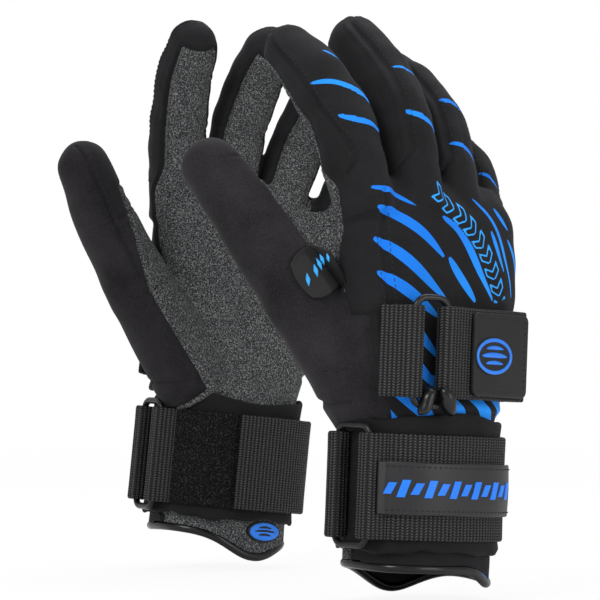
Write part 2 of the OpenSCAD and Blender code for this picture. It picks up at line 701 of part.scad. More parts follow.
module left_thumb_base() {
  place_left() thumb_base(bends_left, thumb_way_left);
}
module left_thumb_tip() {
  place_left() thumb_tip(thumb_way_left);
}
module left_thumb_patch() {
  place_left() thumb_patch(thumb_way_left);
}
module left_wrist_wrap() {
  place_left() wrist_wrap();
}
module left_edge_binding() {
  place_left() edge_binding(bends_left);
}
module left_strap_anchor() {
  place_left() strap_anchor();
}
module left_hand_ring() {
  place_left() hand_ring();
}
module left_hand_strap() {
  place_left() hand_strap();
}
module left_hand_strap_tail() {
  place_left() hand_strap_tail();
}
module left_pull_tab() {
  place_left() pull_tab();
}
module left_tab_badge() {
  place_left() tab_badge();
}
module left_pile_strip() {
  place_left() pile_strip();
}
module left_wrist_ring() {
  place_left() wrist_ring();
}
module left_wrist_strap() {
  place_left() wrist_strap();
}
module left_wrist_strap_end() {
  place_left() wrist_strap_end();
}
module left_label_panel() {
  place_left() label_panel();
}

right_hand_back();
right_hand_palm();
right_index_back();
right_index_gusset();
right_index_palm();
right_middle_back();
right_middle_gusset();
right_middle_palm();
right_ring_back();
right_ring_gusset();
right_ring_palm();
right_little_back();
right_little_gusset();
right_little_palm();
right_thumb_base();
right_thumb_tip();
right_thumb_patch();
right_wrist_wrap();
right_edge_binding();
right_strap_anchor();
right_hand_ring();
right_hand_strap();
right_hand_strap_tail();
right_pull_tab();
right_pile_strip();
right_wrist_ring();
right_wrist_strap();
right_wrist_strap_end();
right_label_panel();
right_tab_badge();
left_hand_back();
left_hand_palm();
left_index_back();
left_index_gusset();
left_index_palm();
left_middle_back();
left_middle_gusset();
left_middle_palm();
left_ring_back();
left_ring_gusset();
left_ring_palm();
left_little_back();
left_little_gusset();
left_little_palm();
left_thumb_base();
left_thumb_tip();
left_thumb_patch();
left_wrist_wrap();
left_edge_binding();
left_strap_anchor();
left_hand_ring();
left_hand_strap();
left_hand_strap_tail();
left_pull_tab();
left_pile_strip();
left_wrist_ring();
left_wrist_strap();
left_wrist_strap_end();
left_label_panel();
left_tab_badge();
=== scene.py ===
"""Looks for a pair of sewn gloves: printed stretch backs, heather knit palms, webbing straps and rings.

Each glove is laid out in its own hand frame, in millimetres: origin at the wrist centre, +Z to the
fingers, -X to the thumb side, +Y to the palm. place() takes a hand point to the row frame in metres.
"""

import math

import bpy
import numpy as np
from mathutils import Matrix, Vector
from mathutils.bvhtree import BVHTree


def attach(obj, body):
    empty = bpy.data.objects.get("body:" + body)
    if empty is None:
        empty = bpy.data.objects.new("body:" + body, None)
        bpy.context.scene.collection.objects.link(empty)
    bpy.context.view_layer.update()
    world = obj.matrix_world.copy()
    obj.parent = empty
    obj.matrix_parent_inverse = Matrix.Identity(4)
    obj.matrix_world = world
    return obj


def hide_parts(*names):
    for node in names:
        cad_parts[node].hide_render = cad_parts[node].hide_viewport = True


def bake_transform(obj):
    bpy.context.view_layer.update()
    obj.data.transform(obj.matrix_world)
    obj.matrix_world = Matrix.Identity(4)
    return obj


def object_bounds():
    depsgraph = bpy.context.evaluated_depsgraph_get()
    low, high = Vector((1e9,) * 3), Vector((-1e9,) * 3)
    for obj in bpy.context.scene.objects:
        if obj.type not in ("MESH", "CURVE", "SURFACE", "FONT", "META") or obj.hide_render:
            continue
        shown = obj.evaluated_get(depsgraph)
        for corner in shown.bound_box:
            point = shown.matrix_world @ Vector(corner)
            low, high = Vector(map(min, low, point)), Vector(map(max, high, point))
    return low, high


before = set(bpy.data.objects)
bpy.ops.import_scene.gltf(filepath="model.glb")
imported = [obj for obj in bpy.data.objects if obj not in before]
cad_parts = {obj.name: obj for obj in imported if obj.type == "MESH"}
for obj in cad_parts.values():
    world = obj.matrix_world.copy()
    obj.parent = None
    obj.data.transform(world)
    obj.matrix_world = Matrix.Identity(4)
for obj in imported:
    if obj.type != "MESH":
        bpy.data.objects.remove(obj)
cad_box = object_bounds()

# ---------- the glove's driving sizes, in mm ----------
FINGERS = ("index", "middle", "ring", "little")
KNUCKLES = [(-37, 0, 88), (-11.5, -2, 91), (13, 0, 89), (37, 5, 80)]
LEANS = [7, 0, -5, -11]
REACH = [82, 84, 83, 72]
SLIM = [1, 1, 1, 0.9]
FINGER_WIDTH, FINGER_HEIGHT = 13.2, 13.8
THUMB_LENGTH, THUMB_WIDTH = 114, 16.5
HAND_WIDTH, WRIST_WIDTH, WRIST_HEIGHT = 47, 32, 26
WRIST_X = -0.5
POWER = 2.4
SECTIONS = np.array([
    [-80, WRIST_X, 0, WRIST_WIDTH, WRIST_HEIGHT],
    [5, WRIST_X, 0, WRIST_WIDTH, WRIST_HEIGHT],
    [18, -1, -1, WRIST_WIDTH + 6, WRIST_HEIGHT - 3],
    [34, -1, -1, HAND_WIDTH - 5, WRIST_HEIGHT - 4.5],
    [52, 0, -1, HAND_WIDTH - 2, WRIST_HEIGHT - 5],
    [70, 0, 1, HAND_WIDTH, WRIST_HEIGHT - 6],
    [90, 0, 3, HAND_WIDTH, WRIST_HEIGHT - 7]], float)
WEB, HAND_WEB, THICK = 44, 38, 1.8
WRIST_LOW, STRAP_LOW = -48, 11
RING_X, RING_Y, BAR = WRIST_X - WRIST_WIDTH - 6.2, 9.5, 3
FRAME_AT, FRAME_TURN = np.array([-23.0, -27.0]), -15
TAB_AT, TAB_TURN, TAB_LENGTH = np.array([-5.0, -31.8]), 8, 37
BACK_SEAM, PALM_SEAM = 33, 35
RIB = 0.5
BAR_GAP = 1.8 + THICK / 2  # from a ring bar's centre to the middle of the webbing round it
RING_HALF = 7.5            # half the hand ring's width
STRAP_LEAVES = 26          # degrees round the wrist at which webbing leaves it for the ring
PILE_FOLD = 24             # length of the webbing fold sewn to the pile strip
WRAP_LOW, WRAP_HIGH, WRAP_THICK = -53, 4, 2.0
LABEL_LOW, LABEL_HIGH = WRIST_LOW + 10.5, WRIST_LOW + 32.5
LINING_GAP = 2.2
FINGER_BEND, THUMB_BEND = (12, 36), (42, 68)  # lengths along a digit, given to bend_with, which works out their points but uses none
SIDE_ROUND = 13.0          # the finger radius that turns angles into lengths along the cloth
SIDES = {
    "right": dict(turn=42, lean=3, at=(0, 0, 0), flip=1,
                  bends=[(18, 22, 12), (16, 22, 12), (22, 26, 14), (30, 28, 14)],
                  thumb=(-0.53, 0.31, 0.82)),
    "left": dict(turn=26, lean=6, at=(-89, 185, 3), flip=-1,
                 bends=[(6, 14, 18), (12, 18, 18), (20, 24, 16), (30, 28, 14)],
                 thumb=(-0.67, 0.1, 0.79)),
}
VOXEL = 1.0


def unit(v):
    v = np.asarray(v, float)
    return v / np.linalg.norm(v, axis=-1, keepdims=True)


def ease(t):
    t = np.clip(t, 0, 1)
    return t * t * (3 - 2 * t)


def mix(a, b, t):
    return a + (b - a) * t


def turned(p, degrees):
    c, s = math.cos(math.radians(degrees)), math.sin(math.radians(degrees))
    p = np.asarray(p, float)
    return np.stack([p[..., 0] * c - p[..., 1] * s, p[..., 0] * s + p[..., 1] * c], -1)


def place(side, points):
    """Hand points in mm to the row frame in metres."""
    k = SIDES[side]
    p = np.array(points, float).reshape(-1, 3)
    p[:, 1] *= k["flip"]
    p = p + (2, 0, 66)
    c, s = math.cos(math.radians(k["lean"])), math.sin(math.radians(k["lean"]))
    p = np.stack([p[:, 0] * c + p[:, 2] * s, p[:, 1], -p[:, 0] * s + p[:, 2] * c], 1)
    p[:, :2] = turned(p[:, :2], k["turn"])
    return (p + k["at"]) * 0.001


# ---------- digits ----------
class Digit:
    """A bent tube: centre line by length s, and a round section by angle, 90 degrees at the palm."""

    def __init__(self, root, up, palm, bends, joints, total, widths, heights, stations):
        self.up, self.palm, self.total = unit(up), unit(palm), total
        self.side = np.cross(self.up, self.palm)
        self.stations = np.array(stations) * total
        self.widths, self.heights = np.array(widths), np.array(heights)
        self.s = np.arange(-14, total + 3.01, 0.5)
        self.angle = np.radians(bends[0] + bends[1] * ease((self.s - joints[0]) / 16 + 0.5)
                                + bends[2] * ease((self.s - joints[1]) / 16 + 0.5))
        step = (np.cos(self.angle)[:, None] * self.up + np.sin(self.angle)[:, None] * self.palm) * 0.5
        line = np.cumsum(step, 0)
        self.line = line - line[np.searchsorted(self.s, 0)] + np.array(root, float)
        self.joints = joints

    def at(self, s):
        a = np.interp(s, self.s, self.angle)[..., None]
        c = np.stack([np.interp(s, self.s, self.line[:, k]) for k in range(3)], -1)
        return (c, np.cos(a) * self.up + np.sin(a) * self.palm,
                -np.sin(a) * self.up + np.cos(a) * self.palm)

    def size(self, s):
        return np.interp(s, self.stations, self.widths), np.interp(s, self.stations, self.heights)

    def point(self, s, degrees, out=0.0):
        s, a = np.broadcast_arrays(np.asarray(s, float), np.radians(degrees))
        c, _, palm = self.at(s)
        w, h = self.size(s)
        return (c + ((w + out) * np.cos(a))[..., None] * self.side
                + ((h + out) * np.sin(a))[..., None] * palm)

    def rings(self, start, n=40):
        """Closed rings from start to the tip dome."""
        turn = np.arange(n) * 360 / n
        rows = [self.point(s, turn) for s in np.linspace(start, self.total, 26)]
        c, up, palm = self.at(np.array(float(self.total)))
        w, h = self.size(self.total)
        for e in np.radians([15, 30, 45, 60, 74, 84]):
            rows.append(c + np.cos(e) * w * np.cos(np.radians(turn))[:, None] * self.side
                        + np.cos(e) * h * np.sin(np.radians(turn))[:, None] * palm
                        + np.sin(e) * h * up)
        return rows

    def coords(self, p):
        """(length s with the dome's rise, angle, share of the radius, palm share) of each point."""
        near = np.empty(len(p), int)
        for i in range(0, len(p), 20000):
            q = p[i:i + 20000]
            near[i:i + 20000] = ((q[:, None] - self.line[None, ::3]) ** 2).sum(-1).argmin(1) * 3
        c, up, _ = self.at(self.s[near])
        s = np.clip(self.s[near] + ((p - c) * up).sum(1), -14, self.total)
        c, up, palm = self.at(s)
        w, h = self.size(s)
        q = p - c
        side, pal, rise = (q @ self.side) / w, (q * palm).sum(1) / h, (q * up).sum(1)
        ends = (s > self.total - 0.01) | (s < -13.9)
        rho = np.sqrt(side ** 2 + pal ** 2 + np.where(ends, rise / h, 0) ** 2)
        return s + np.where(ends, rise, 0), np.degrees(np.arctan2(pal, side)), rho, pal / rho


def make_digits(side):
    k = SIDES[side]
    out = []
    for i in range(4):
        a = math.radians(LEANS[i])
        w, h = FINGER_WIDTH * SLIM[i], FINGER_HEIGHT * SLIM[i]
        out.append(Digit(KNUCKLES[i], (-math.sin(a), 0, math.cos(a)), (0, 1, 0), k["bends"][i],
                         (REACH[i] * 0.5, REACH[i] * 0.8), REACH[i],
                         [w - 0.8, w, w - 0.4, w - 1.8], [h, h, h - 0.8, h - 2.4],
                         [0, 0.5, 0.8, 1]))
    u, p = unit(k["thumb"]), np.array([0.45, 0.75, 0])
    t = THUMB_WIDTH
    out.append(Digit((-26, 8, 14), u, p - (p @ u) * u, (0, 4, 6),
                     (THUMB_LENGTH * 0.42, THUMB_LENGTH * 0.76), THUMB_LENGTH,
                     [t + 2.5, t, t - 2.3, t - 4.5], [t + 1, t - 1.5, t - 3.2, t - 5.3],
                     [0, 0.42, 0.76, 1]))
    return out


# ---------- the hand ----------
def section(z, k):
    return np.interp(z, SECTIONS[:, 0], SECTIONS[:, k])


def bulge(f):
    return np.maximum(0, 1 - np.abs(f) ** POWER) ** (1 / POWER)


def hand_point(z, f, face, out=0.0):
    """A point of the hand's skin: f from -1 at the thumb side to 1, face 1 palm and -1 back."""
    z, f = np.broadcast_arrays(np.asarray(z, float), np.asarray(f, float))
    return np.stack([section(z, 1) + (section(z, 3) + out) * f,
                     section(z, 2) + face * (0.15 + (section(z, 4) + out) * bulge(f)), z], -1)


def hem(f, palm_side):
    """Height of the cuff's edge, which dips into a pull tongue on the little finger side."""
    return np.where(palm_side, -57 - 11 * np.exp(-((f - 0.3) / 0.6) ** 2),
                    -58 - 6 * np.exp(-((f - 0.75) / 0.35) ** 2))


def power(c):
    return np.sign(c) * np.abs(c) ** (2 / POWER)


def wrist_line(degrees, out):
    """Plan point of the wrist: 0 at the thumb side, 90 at the palm, -90 at the back."""
    a = np.radians(degrees)
    return np.stack([WRIST_X - (WRIST_WIDTH + out) * power(np.cos(a)),
                     (WRIST_HEIGHT + out) * power(np.sin(a))], -1)


def hand_rings():
    turn = np.radians(np.arange(72) * 5)
    rows = []
    for z in list(range(-70, 82, 4)) + [84, 88, 92, 96, 99.5, 102]:
        fall = max(0, z - 84) / 18
        a = section(z, 3) - 9 * fall ** 2
        b = section(z, 4) * (1 - 0.62 * fall ** 2)
        rows.append(np.stack([section(z, 1) + a * power(np.cos(turn)),
                              section(z, 2) + b * power(np.sin(turn)),
                              np.full(72, float(z))], -1))
    return rows


# ---------- meshes ----------
def loft(rows, closed_ends=True):
    n, c = len(rows), len(rows[0])
    v = np.concatenate(rows)
    j = np.arange(c)
    faces = [(i * c + a, i * c + (a + 1) % c, (i + 1) * c + (a + 1) % c, (i + 1) * c + a)
             for i in range(n - 1) for a in j]
    if closed_ends:
        faces += [tuple(j[::-1]), tuple((n - 1) * c + j)]
    return v, faces


def new_object(name, v, faces, smooth=True):
    mesh = bpy.data.meshes.new(name)
    mesh.from_pydata([tuple(p) for p in v], [], [tuple(int(i) for i in f) for f in faces])
    mesh.update()
    if smooth:
        mesh.shade_smooth()
    obj = bpy.data.objects.new(name, mesh)
    bpy.context.scene.collection.objects.link(obj)
    return obj


def piece(side, name, v, faces, material, smooth=True):
    """One visible piece of a glove, from points in the hand frame."""
    obj = new_object(f"{side}_{name}", place(side, v), faces, smooth)
    obj.data.materials.append(material)
    return obj


def join(parts):
    """Several (points, faces) as one."""
    v, faces, n = [], [], 0
    for p, f in parts:
        v.append(p)
        faces += [tuple(i + n for i in q) for q in f]
        n += len(p)
    return np.concatenate(v), faces


def split(v, t, a, k):
    """Cuts the triangles where attribute k passes zero."""
    f = a[:, k]
    pos = (f > 0)[t]
    count = pos.sum(1)
    whole = (count == 0) | (count == 3)
    cut, p, c = t[~whole], pos[~whole], count[~whole]
    lone = np.where(c == 1, p.argmax(1), (~p).argmax(1))
    r = np.arange(len(cut))
    x, y, z = cut[r, lone], cut[r, (lone + 1) % 3], cut[r, (lone + 2) % 3]
    pairs = np.sort(np.stack([np.r_[x, x], np.r_[y, z]], 1), 1)
    edges, inverse = np.unique(pairs, axis=0, return_inverse=True)
    inverse = inverse.reshape(-1)
    w = np.clip(f[edges[:, 0]] / (f[edges[:, 0]] - f[edges[:, 1]] + 1e-12), 0.03, 0.97)[:, None]
    extra = mix(a[edges[:, 0]], a[edges[:, 1]], w)
    extra[:, k] = 0
    m, n = len(v) + inverse[:len(x)], len(v) + inverse[len(x):]
    return (np.concatenate([v, mix(v[edges[:, 0]], v[edges[:, 1]], w)]),
            np.concatenate([t[whole], np.stack([x, m, n], 1), np.stack([m, y, z], 1),
                            np.stack([m, z, n], 1)]),
            np.concatenate([a, extra]))


def vertex_normals(v, t):
    n = np.cross(v[t[:, 1]] - v[t[:, 0]], v[t[:, 2]] - v[t[:, 0]])
    out = np.zeros_like(v)
    for k in range(3):
        np.add.at(out, t[:, k], n)
    return unit(out + 1e-12)


def store(obj, **values):
    """Keeps a number per vertex for the materials to read."""
    for key, value in values.items():
        attribute = obj.data.attributes.new(key, "FLOAT", "POINT")
        attribute.data.foreach_set("value", value.astype(np.float32))


def shell(side, name, fn, u, v0, v1, thick, material, rib=0.0, pitch=1.9, closed=False,
          outward=1, selvedge=0.12):
    """A woven strip: fn(u, v) is its middle surface, u runs along it and v across, from v0 to v1."""
    u = np.asarray(u, float)
    r = thick / 2
    across, offset = [], []
    for e in np.radians([-90, -45, 0, 45, 90]):
        across.append(v1 - r + r * math.cos(e))
        offset.append(r * math.sin(e))
    inner = list(np.linspace(v1 - 1.5 * r, v0 + 1.5 * r, 7))
    across += inner
    offset += [r] * 7
    for e in np.radians([90, 135, 180, 225, 270]):
        across.append(v0 + r + r * math.cos(e))
        offset.append(r * math.sin(e))
    across += inner[::-1]
    offset += [-r] * 7
    across, offset = np.array(across), np.array(offset)
    n, m = len(u), len(across)
    uu, vv = np.repeat(u, m), np.tile(across, n)
    vv = vv + 0.1 * np.sin(uu / 6.3) * np.sign(vv - (v0 + v1) / 2)
    p = fn(uu, vv)
    du = fn(uu + 0.3, vv) - fn(uu - 0.3, vv)
    dv = fn(uu, vv + 0.3) - fn(uu, vv - 0.3)
    normal = unit(np.cross(du, dv)) * outward
    off = np.tile(offset, n)
    wave = rib * (np.abs(np.sin(math.pi * uu / pitch)) - 0.5) * np.sign(off) * (np.abs(off) > 0.6 * r)
    edge = selvedge * np.exp(-((np.minimum(vv - v0, v1 - vv) - 1.6) / 0.8) ** 2) * np.sign(off)
    p = p + (off + wave + edge)[:, None] * normal
    j = np.arange(m)
    faces = [(i * m + a, i * m + (a + 1) % m, ((i + 1) % n) * m + (a + 1) % m, ((i + 1) % n) * m + a)
             for i in range(n if closed else n - 1) for a in j]
    if not closed:
        faces += [tuple(j[::-1]), tuple((n - 1) * m + j)]
    if (outward > 0) == (SIDES[side]["flip"] > 0):
        faces = [f[::-1] for f in faces]
    obj = piece(side, name, p, faces, material)
    store(obj, run=uu / pitch, across=vv)
    return obj


def along(path, step=0.3):
    """A plan path, rounded a little, as a function of length and height, and its lengths."""
    path = np.asarray(path, float)
    gaps = np.r_[0, np.cumsum(np.linalg.norm(np.diff(path, axis=0), axis=1))]
    u = np.arange(0, gaps[-1], step)
    p = np.stack([np.interp(u, gaps, path[:, k]) for k in range(2)], -1)
    for _ in range(10):
        p[1:-1] = (p[:-2] + 2 * p[1:-1] + p[2:]) / 4

    def fn(a, z):
        return np.stack([np.interp(a, u, p[:, 0]), np.interp(a, u, p[:, 1]), z], -1)
    return fn, u[2:-2]


def tube_loop(side, name, points, radius, material, sides=12):
    """A closed run of round bar."""
    p = np.asarray(points, float)
    t = unit(np.roll(p, -1, 0) - np.roll(p, 1, 0))
    centre = p.mean(0)
    a = unit(np.cross(t, np.cross(p - centre, t)))
    b = np.cross(t, a)
    q = np.radians(np.arange(sides) * 360 / sides)
    rows = p[:, None] + radius * (np.cos(q)[None, :, None] * a[:, None]
                                  + np.sin(q)[None, :, None] * b[:, None])
    n = len(p)
    faces = [(i * sides + j, ((i + 1) % n) * sides + j, ((i + 1) % n) * sides + (j + 1) % sides,
              i * sides + (j + 1) % sides) for i in range(n) for j in range(sides)]
    if SIDES[side]["flip"] < 0:
        faces = [f[::-1] for f in faces]
    return piece(side, name, rows.reshape(-1, 3), faces, material)


def dashes(runs, length=1.7, pitch=2.5, radius=0.24, lift=0.1):
    """Stitches as small flattened beads along runs of (points, normals)."""
    parts = []
    ring = np.radians(np.arange(6) * 60)
    rise = np.array([0, 0.6, 1, 0.6, 0])
    for points, normals in runs:
        p = np.asarray(points, float)
        nrm = np.broadcast_to(np.asarray(normals, float), p.shape)
        gaps = np.r_[0, np.cumsum(np.linalg.norm(np.diff(p, axis=0), axis=1))]
        for c in np.arange(pitch / 2, gaps[-1], pitch):
            ends = [np.array([np.interp(c + d, gaps, p[:, k]) for k in range(3)])
                    for d in (-length / 2, length / 2)]
            way = ends[1] - ends[0]
            if np.linalg.norm(way) < 0.3 * length:
                continue
            n = unit(np.array([np.interp(c, gaps, nrm[:, k]) for k in range(3)]))
            b = unit(np.cross(way, n))
            rows = [mix(ends[0], ends[1], i / 4) + n * (lift - 0.12 * abs(i - 2))
                    + radius * max(rise[i], 0.15) * (np.cos(ring)[:, None] * b
                                                     + 0.8 * np.sin(ring)[:, None] * n)
                    for i in range(5)]
            parts.append(loft(rows))
    return join(parts)


def sewn(side, name, runs, material, **sizes):
    """Stitches or printed dashes as one piece."""
    return piece(side, name, *dashes(runs, **sizes), material)


def plate(side, name, outline, base, x_way, y_way, thick, material, bevel=0.4):
    """A flat moulded piece: outline in mm in a plane, raised along the plane's normal."""
    x_way, y_way = unit(x_way), unit(y_way)
    n = np.cross(x_way, y_way)
    p = np.array([np.array(base) + x * x_way + y * y_way for x, y in outline])
    k = len(outline)
    v = np.concatenate([p, p + n * thick])
    faces = [tuple(range(k))[::-1], tuple(range(k, 2 * k))]
    faces += [(i, (i + 1) % k, k + (i + 1) % k, k + i) for i in range(k)]
    if SIDES[side]["flip"] < 0:
        faces = [f[::-1] for f in faces]
    obj = piece(side, name, v, faces, material)
    mod = obj.modifiers.new("round", "BEVEL")
    mod.width, mod.segments, mod.limit_method = bevel * 0.001, 3, "ANGLE"
    mod.angle_limit = math.radians(40)
    return obj


def round_box(hx, hy, r, steps=6):
    """Corners of a rounded rectangle, with steps + 1 points in each."""
    out = []
    for q, (sx, sy) in enumerate([(1, 1), (-1, 1), (-1, -1), (1, -1)]):
        for k in range(steps + 1):
            a = math.radians(90 * q + 90 * k / steps)
            out.append((sx * (hx - r) + r * math.cos(a), sy * (hy - r) + r * math.sin(a)))
    return out


def ring_outline(hx, hy, r):
    """A rounded rectangle with its straight runs filled in, for a ring's bar."""
    box = [np.array(p) for p in round_box(hx, hy, r, 8)]
    out = []
    for a, b in zip(box, box[1:] + box[:1]):
        steps = 2 if np.linalg.norm(a - b) < 6 else 8
        out += [mix(a, b, j / steps) for j in range(steps)]
    return out


# ---------- materials ----------
class Nodes:
    """A material under way: its nodes, and its Principled shader."""

    def __init__(self, name):
        self.material = bpy.data.materials.new(name)
        self.material.use_nodes = True
        self.tree = self.material.node_tree
        self.shader = self.tree.nodes["Principled BSDF"]
        self.space = self.add("ShaderNodeTexCoord").outputs["Object"]

    def add(self, kind, **values):
        node = self.tree.nodes.new(kind)
        for key, value in values.items():
            if key in node.inputs:
                node.inputs[key].default_value = value
            else:
                setattr(node, key, value)
        return node

    def link(self, a, b):
        self.tree.links.new(a, b)

    def noise(self, scale, detail=2.0, rough=0.5):
        node = self.add("ShaderNodeTexNoise", Scale=scale, Detail=detail, Roughness=rough)
        self.link(self.space, node.inputs["Vector"])
        return node.outputs["Fac"]

    def cells(self, scale):
        node = self.add("ShaderNodeTexVoronoi", Scale=scale)
        self.link(self.space, node.inputs["Vector"])
        return node.outputs["Distance"]

    def ramp(self, fac, *stops):
        node = self.add("ShaderNodeValToRGB")
        while len(node.color_ramp.elements) < len(stops):
            node.color_ramp.elements.new(0.5)
        for e, (at, colour) in zip(node.color_ramp.elements, stops):
            e.position, e.color = at, (*colour, 1)
        self.link(fac, node.inputs["Fac"])
        return node.outputs["Color"]

    def math(self, kind, a, b=0.0, c=None):
        node = self.add("ShaderNodeMath", operation=kind)
        for i, x in enumerate((a, b) if c is None else (a, b, c)):
            if isinstance(x, (int, float)):
                node.inputs[i].default_value = x
            else:
                self.link(x, node.inputs[i])
        return node.outputs[0]

    def blend(self, fac, a, b):
        node = self.add("ShaderNodeMix", data_type="RGBA")
        for socket, x in ((node.inputs[0], fac), (node.inputs[6], a), (node.inputs[7], b)):
            if isinstance(x, (int, float)):
                socket.default_value = x
            elif isinstance(x, tuple):
                socket.default_value = (*x, 1)
            else:
                self.link(x, socket)
        return node.outputs[2]

    def attribute(self, name):
        return self.add("ShaderNodeAttribute", attribute_name=name).outputs["Fac"]

    def colour(self, socket):
        self.link(socket, self.shader.inputs["Base Color"])

    def bump(self, height, strength, distance):
        node = self.add("ShaderNodeBump", Strength=strength, Distance=distance)
        self.link(height, node.inputs["Height"])
        self.link(node.outputs["Normal"], self.shader.inputs["Normal"])

    def set(self, **values):
        for key, value in values.items():
            self.shader.inputs[key.replace("_", " ")].default_value = value
        return self.material


def jersey(name, dark, light, print_on=False):
    """Stretch jersey with a fine nap, and the blue screen print where its shape is above zero."""
    k = Nodes(name)
    grain = k.noise(2600, 2, 0.6)
    broad = k.noise(60, 3, 0.6)
    base = k.ramp(k.math("ADD", k.math("MULTIPLY", grain, 0.6), k.math("MULTIPLY", broad, 0.4)),
                  (0.3, dark), (0.72, light))
    if print_on:
        sky = k.ramp(k.noise(9, 1, 0.4), (0.36, (0.01, 0.2, 0.82)), (0.62, (0.022, 0.33, 1.0)))
        mask = k.math("MULTIPLY_ADD", k.attribute("print"), 8.0, 0.5)
        mask.node.use_clamp = True
        base = k.blend(mask, base, sky)
        rim = k.math("SUBTRACT", 0.42, k.math("ABSOLUTE", k.attribute("motif")))
        rim = k.math("MULTIPLY_ADD", rim, 7.0, 0.5)
        rim.node.use_clamp = True
        base = k.blend(rim, base, (0.03, 0.36, 0.95))
    k.colour(base)
    rib = k.noise(4200, 1, 0.4)
    k.bump(k.math("ADD", rib, k.math("MULTIPLY", k.cells(1500), 0.8)), 0.45, 0.00035)
    k.shader.inputs["Sheen Tint"].default_value = (0.8, 0.85, 1, 1)
    return k.set(Roughness=0.8, Sheen_Weight=0.035, Sheen_Roughness=0.4, Specular_IOR_Level=0.16)


def heather(name):
    """Grey and black aramid knit: speckled loops."""
    k = Nodes(name)
    speck = k.noise(1750, 3, 0.75)
    loops = k.cells(1450)
    tone = k.math("ADD", k.math("MULTIPLY", speck, 0.8), k.math("MULTIPLY", loops, 0.3))
    base = k.ramp(tone, (0.42, (0.003, 0.003, 0.0032)), (0.5, (0.018, 0.0185, 0.02)),
                  (0.57, (0.075, 0.078, 0.08)), (0.68, (0.24, 0.245, 0.245)))
    broad = k.noise(45, 3, 0.6)
    base = k.blend(k.math("MULTIPLY", broad, 0.4), base, (0.045, 0.047, 0.05))
    k.colour(base)
    k.bump(k.math("ADD", loops, k.math("MULTIPLY", speck, 0.6)), 0.7, 0.0005)
    return k.set(Roughness=0.88, Specular_IOR_Level=0.15)


def suede(name):
    """Dark thumb cloth with a soft nap."""
    k = Nodes(name)
    nap = k.noise(1700, 4, 0.7)
    broad = k.noise(38, 3, 0.6)
    base = k.ramp(k.math("ADD", k.math("MULTIPLY", nap, 0.55), k.math("MULTIPLY", broad, 0.45)),
                  (0.34, (0.0045, 0.0041, 0.0047)), (0.64, (0.03, 0.027, 0.0305)))
    k.colour(base)
    k.bump(nap, 0.5, 0.0004)
    return k.set(Roughness=0.9, Sheen_Weight=0.05, Sheen_Roughness=0.45, Specular_IOR_Level=0.14)


def webbing_cloth(name):
    """Ribbed webbing: a rib at each whole step of run, its yarns slanting by turns along across; the
    colour carries painted shade in the valleys between ribs and a painted highlight on their crests.
    """
    k = Nodes(name)
    run, across = k.attribute("run"), k.attribute("across")
    rib_crest_shade = k.math("ABSOLUTE", k.math("SINE", k.math("MULTIPLY", run, math.pi)))
    slant = k.math("MULTIPLY", k.math("PINGPONG", run, 1.0), 4.5)
    twist = k.math("SINE", k.math("MULTIPLY_ADD", across, 2 * math.pi / 1.15, slant))
    twist = k.math("MULTIPLY_ADD", twist, 0.35, 0.65)
    yarn = k.noise(2200, 3, 0.7)
    tone = k.math("MULTIPLY", k.math("MULTIPLY", rib_crest_shade, twist), k.math("ADD", yarn, 0.5))
    # the ramp paints the rib valleys near black and the crests lighter: painted shade in the valleys
    # and painted highlight on the crests, over the real yarn slant
    k.colour(k.ramp(tone, (0.12, (0.0015, 0.0015, 0.0016)), (0.5, (0.012, 0.012, 0.0125)),
                    (0.9, (0.085, 0.085, 0.087))))
    k.bump(k.math("ADD", tone, k.math("MULTIPLY", yarn, 0.4)), 0.9, 0.0005)
    return k.set(Roughness=0.62, Specular_IOR_Level=0.28)


def pile(name):
    """Loop side of a touch fastener."""
    k = Nodes(name)
    loops = k.cells(1500)
    fuzz = k.noise(2100, 4, 0.8)
    tone = k.math("ADD", k.math("MULTIPLY", loops, 0.6), k.math("MULTIPLY", fuzz, 0.6))
    k.colour(k.ramp(tone, (0.35, (0.001, 0.001, 0.001)), (0.62, (0.007, 0.007, 0.0075)),
                    (0.85, (0.04, 0.04, 0.042))))
    k.bump(tone, 1.0, 0.0011)
    return k.set(Roughness=0.95, Specular_IOR_Level=0.12)


def moulded(name, colour, roughness, grain, strength, coat=0.0, shine=0.35):
    """Rubber, film, patent or plastic, with its own grain and a little wear in the gloss."""
    k = Nodes(name)
    spots = k.noise(grain, 3, 0.6)
    broad = k.noise(90, 3, 0.6)
    light = tuple(min(1, c * 1.5 + 0.003) for c in colour)
    k.colour(k.ramp(k.math("ADD", k.math("MULTIPLY", spots, 0.5), k.math("MULTIPLY", broad, 0.5)),
                    (0.35, colour), (0.7, light)))
    k.link(k.math("MULTIPLY_ADD", broad, 0.25, roughness - 0.12), k.shader.inputs["Roughness"])
    k.bump(spots, strength, 0.0002)
    return k.set(Coat_Weight=coat, Specular_IOR_Level=shine)


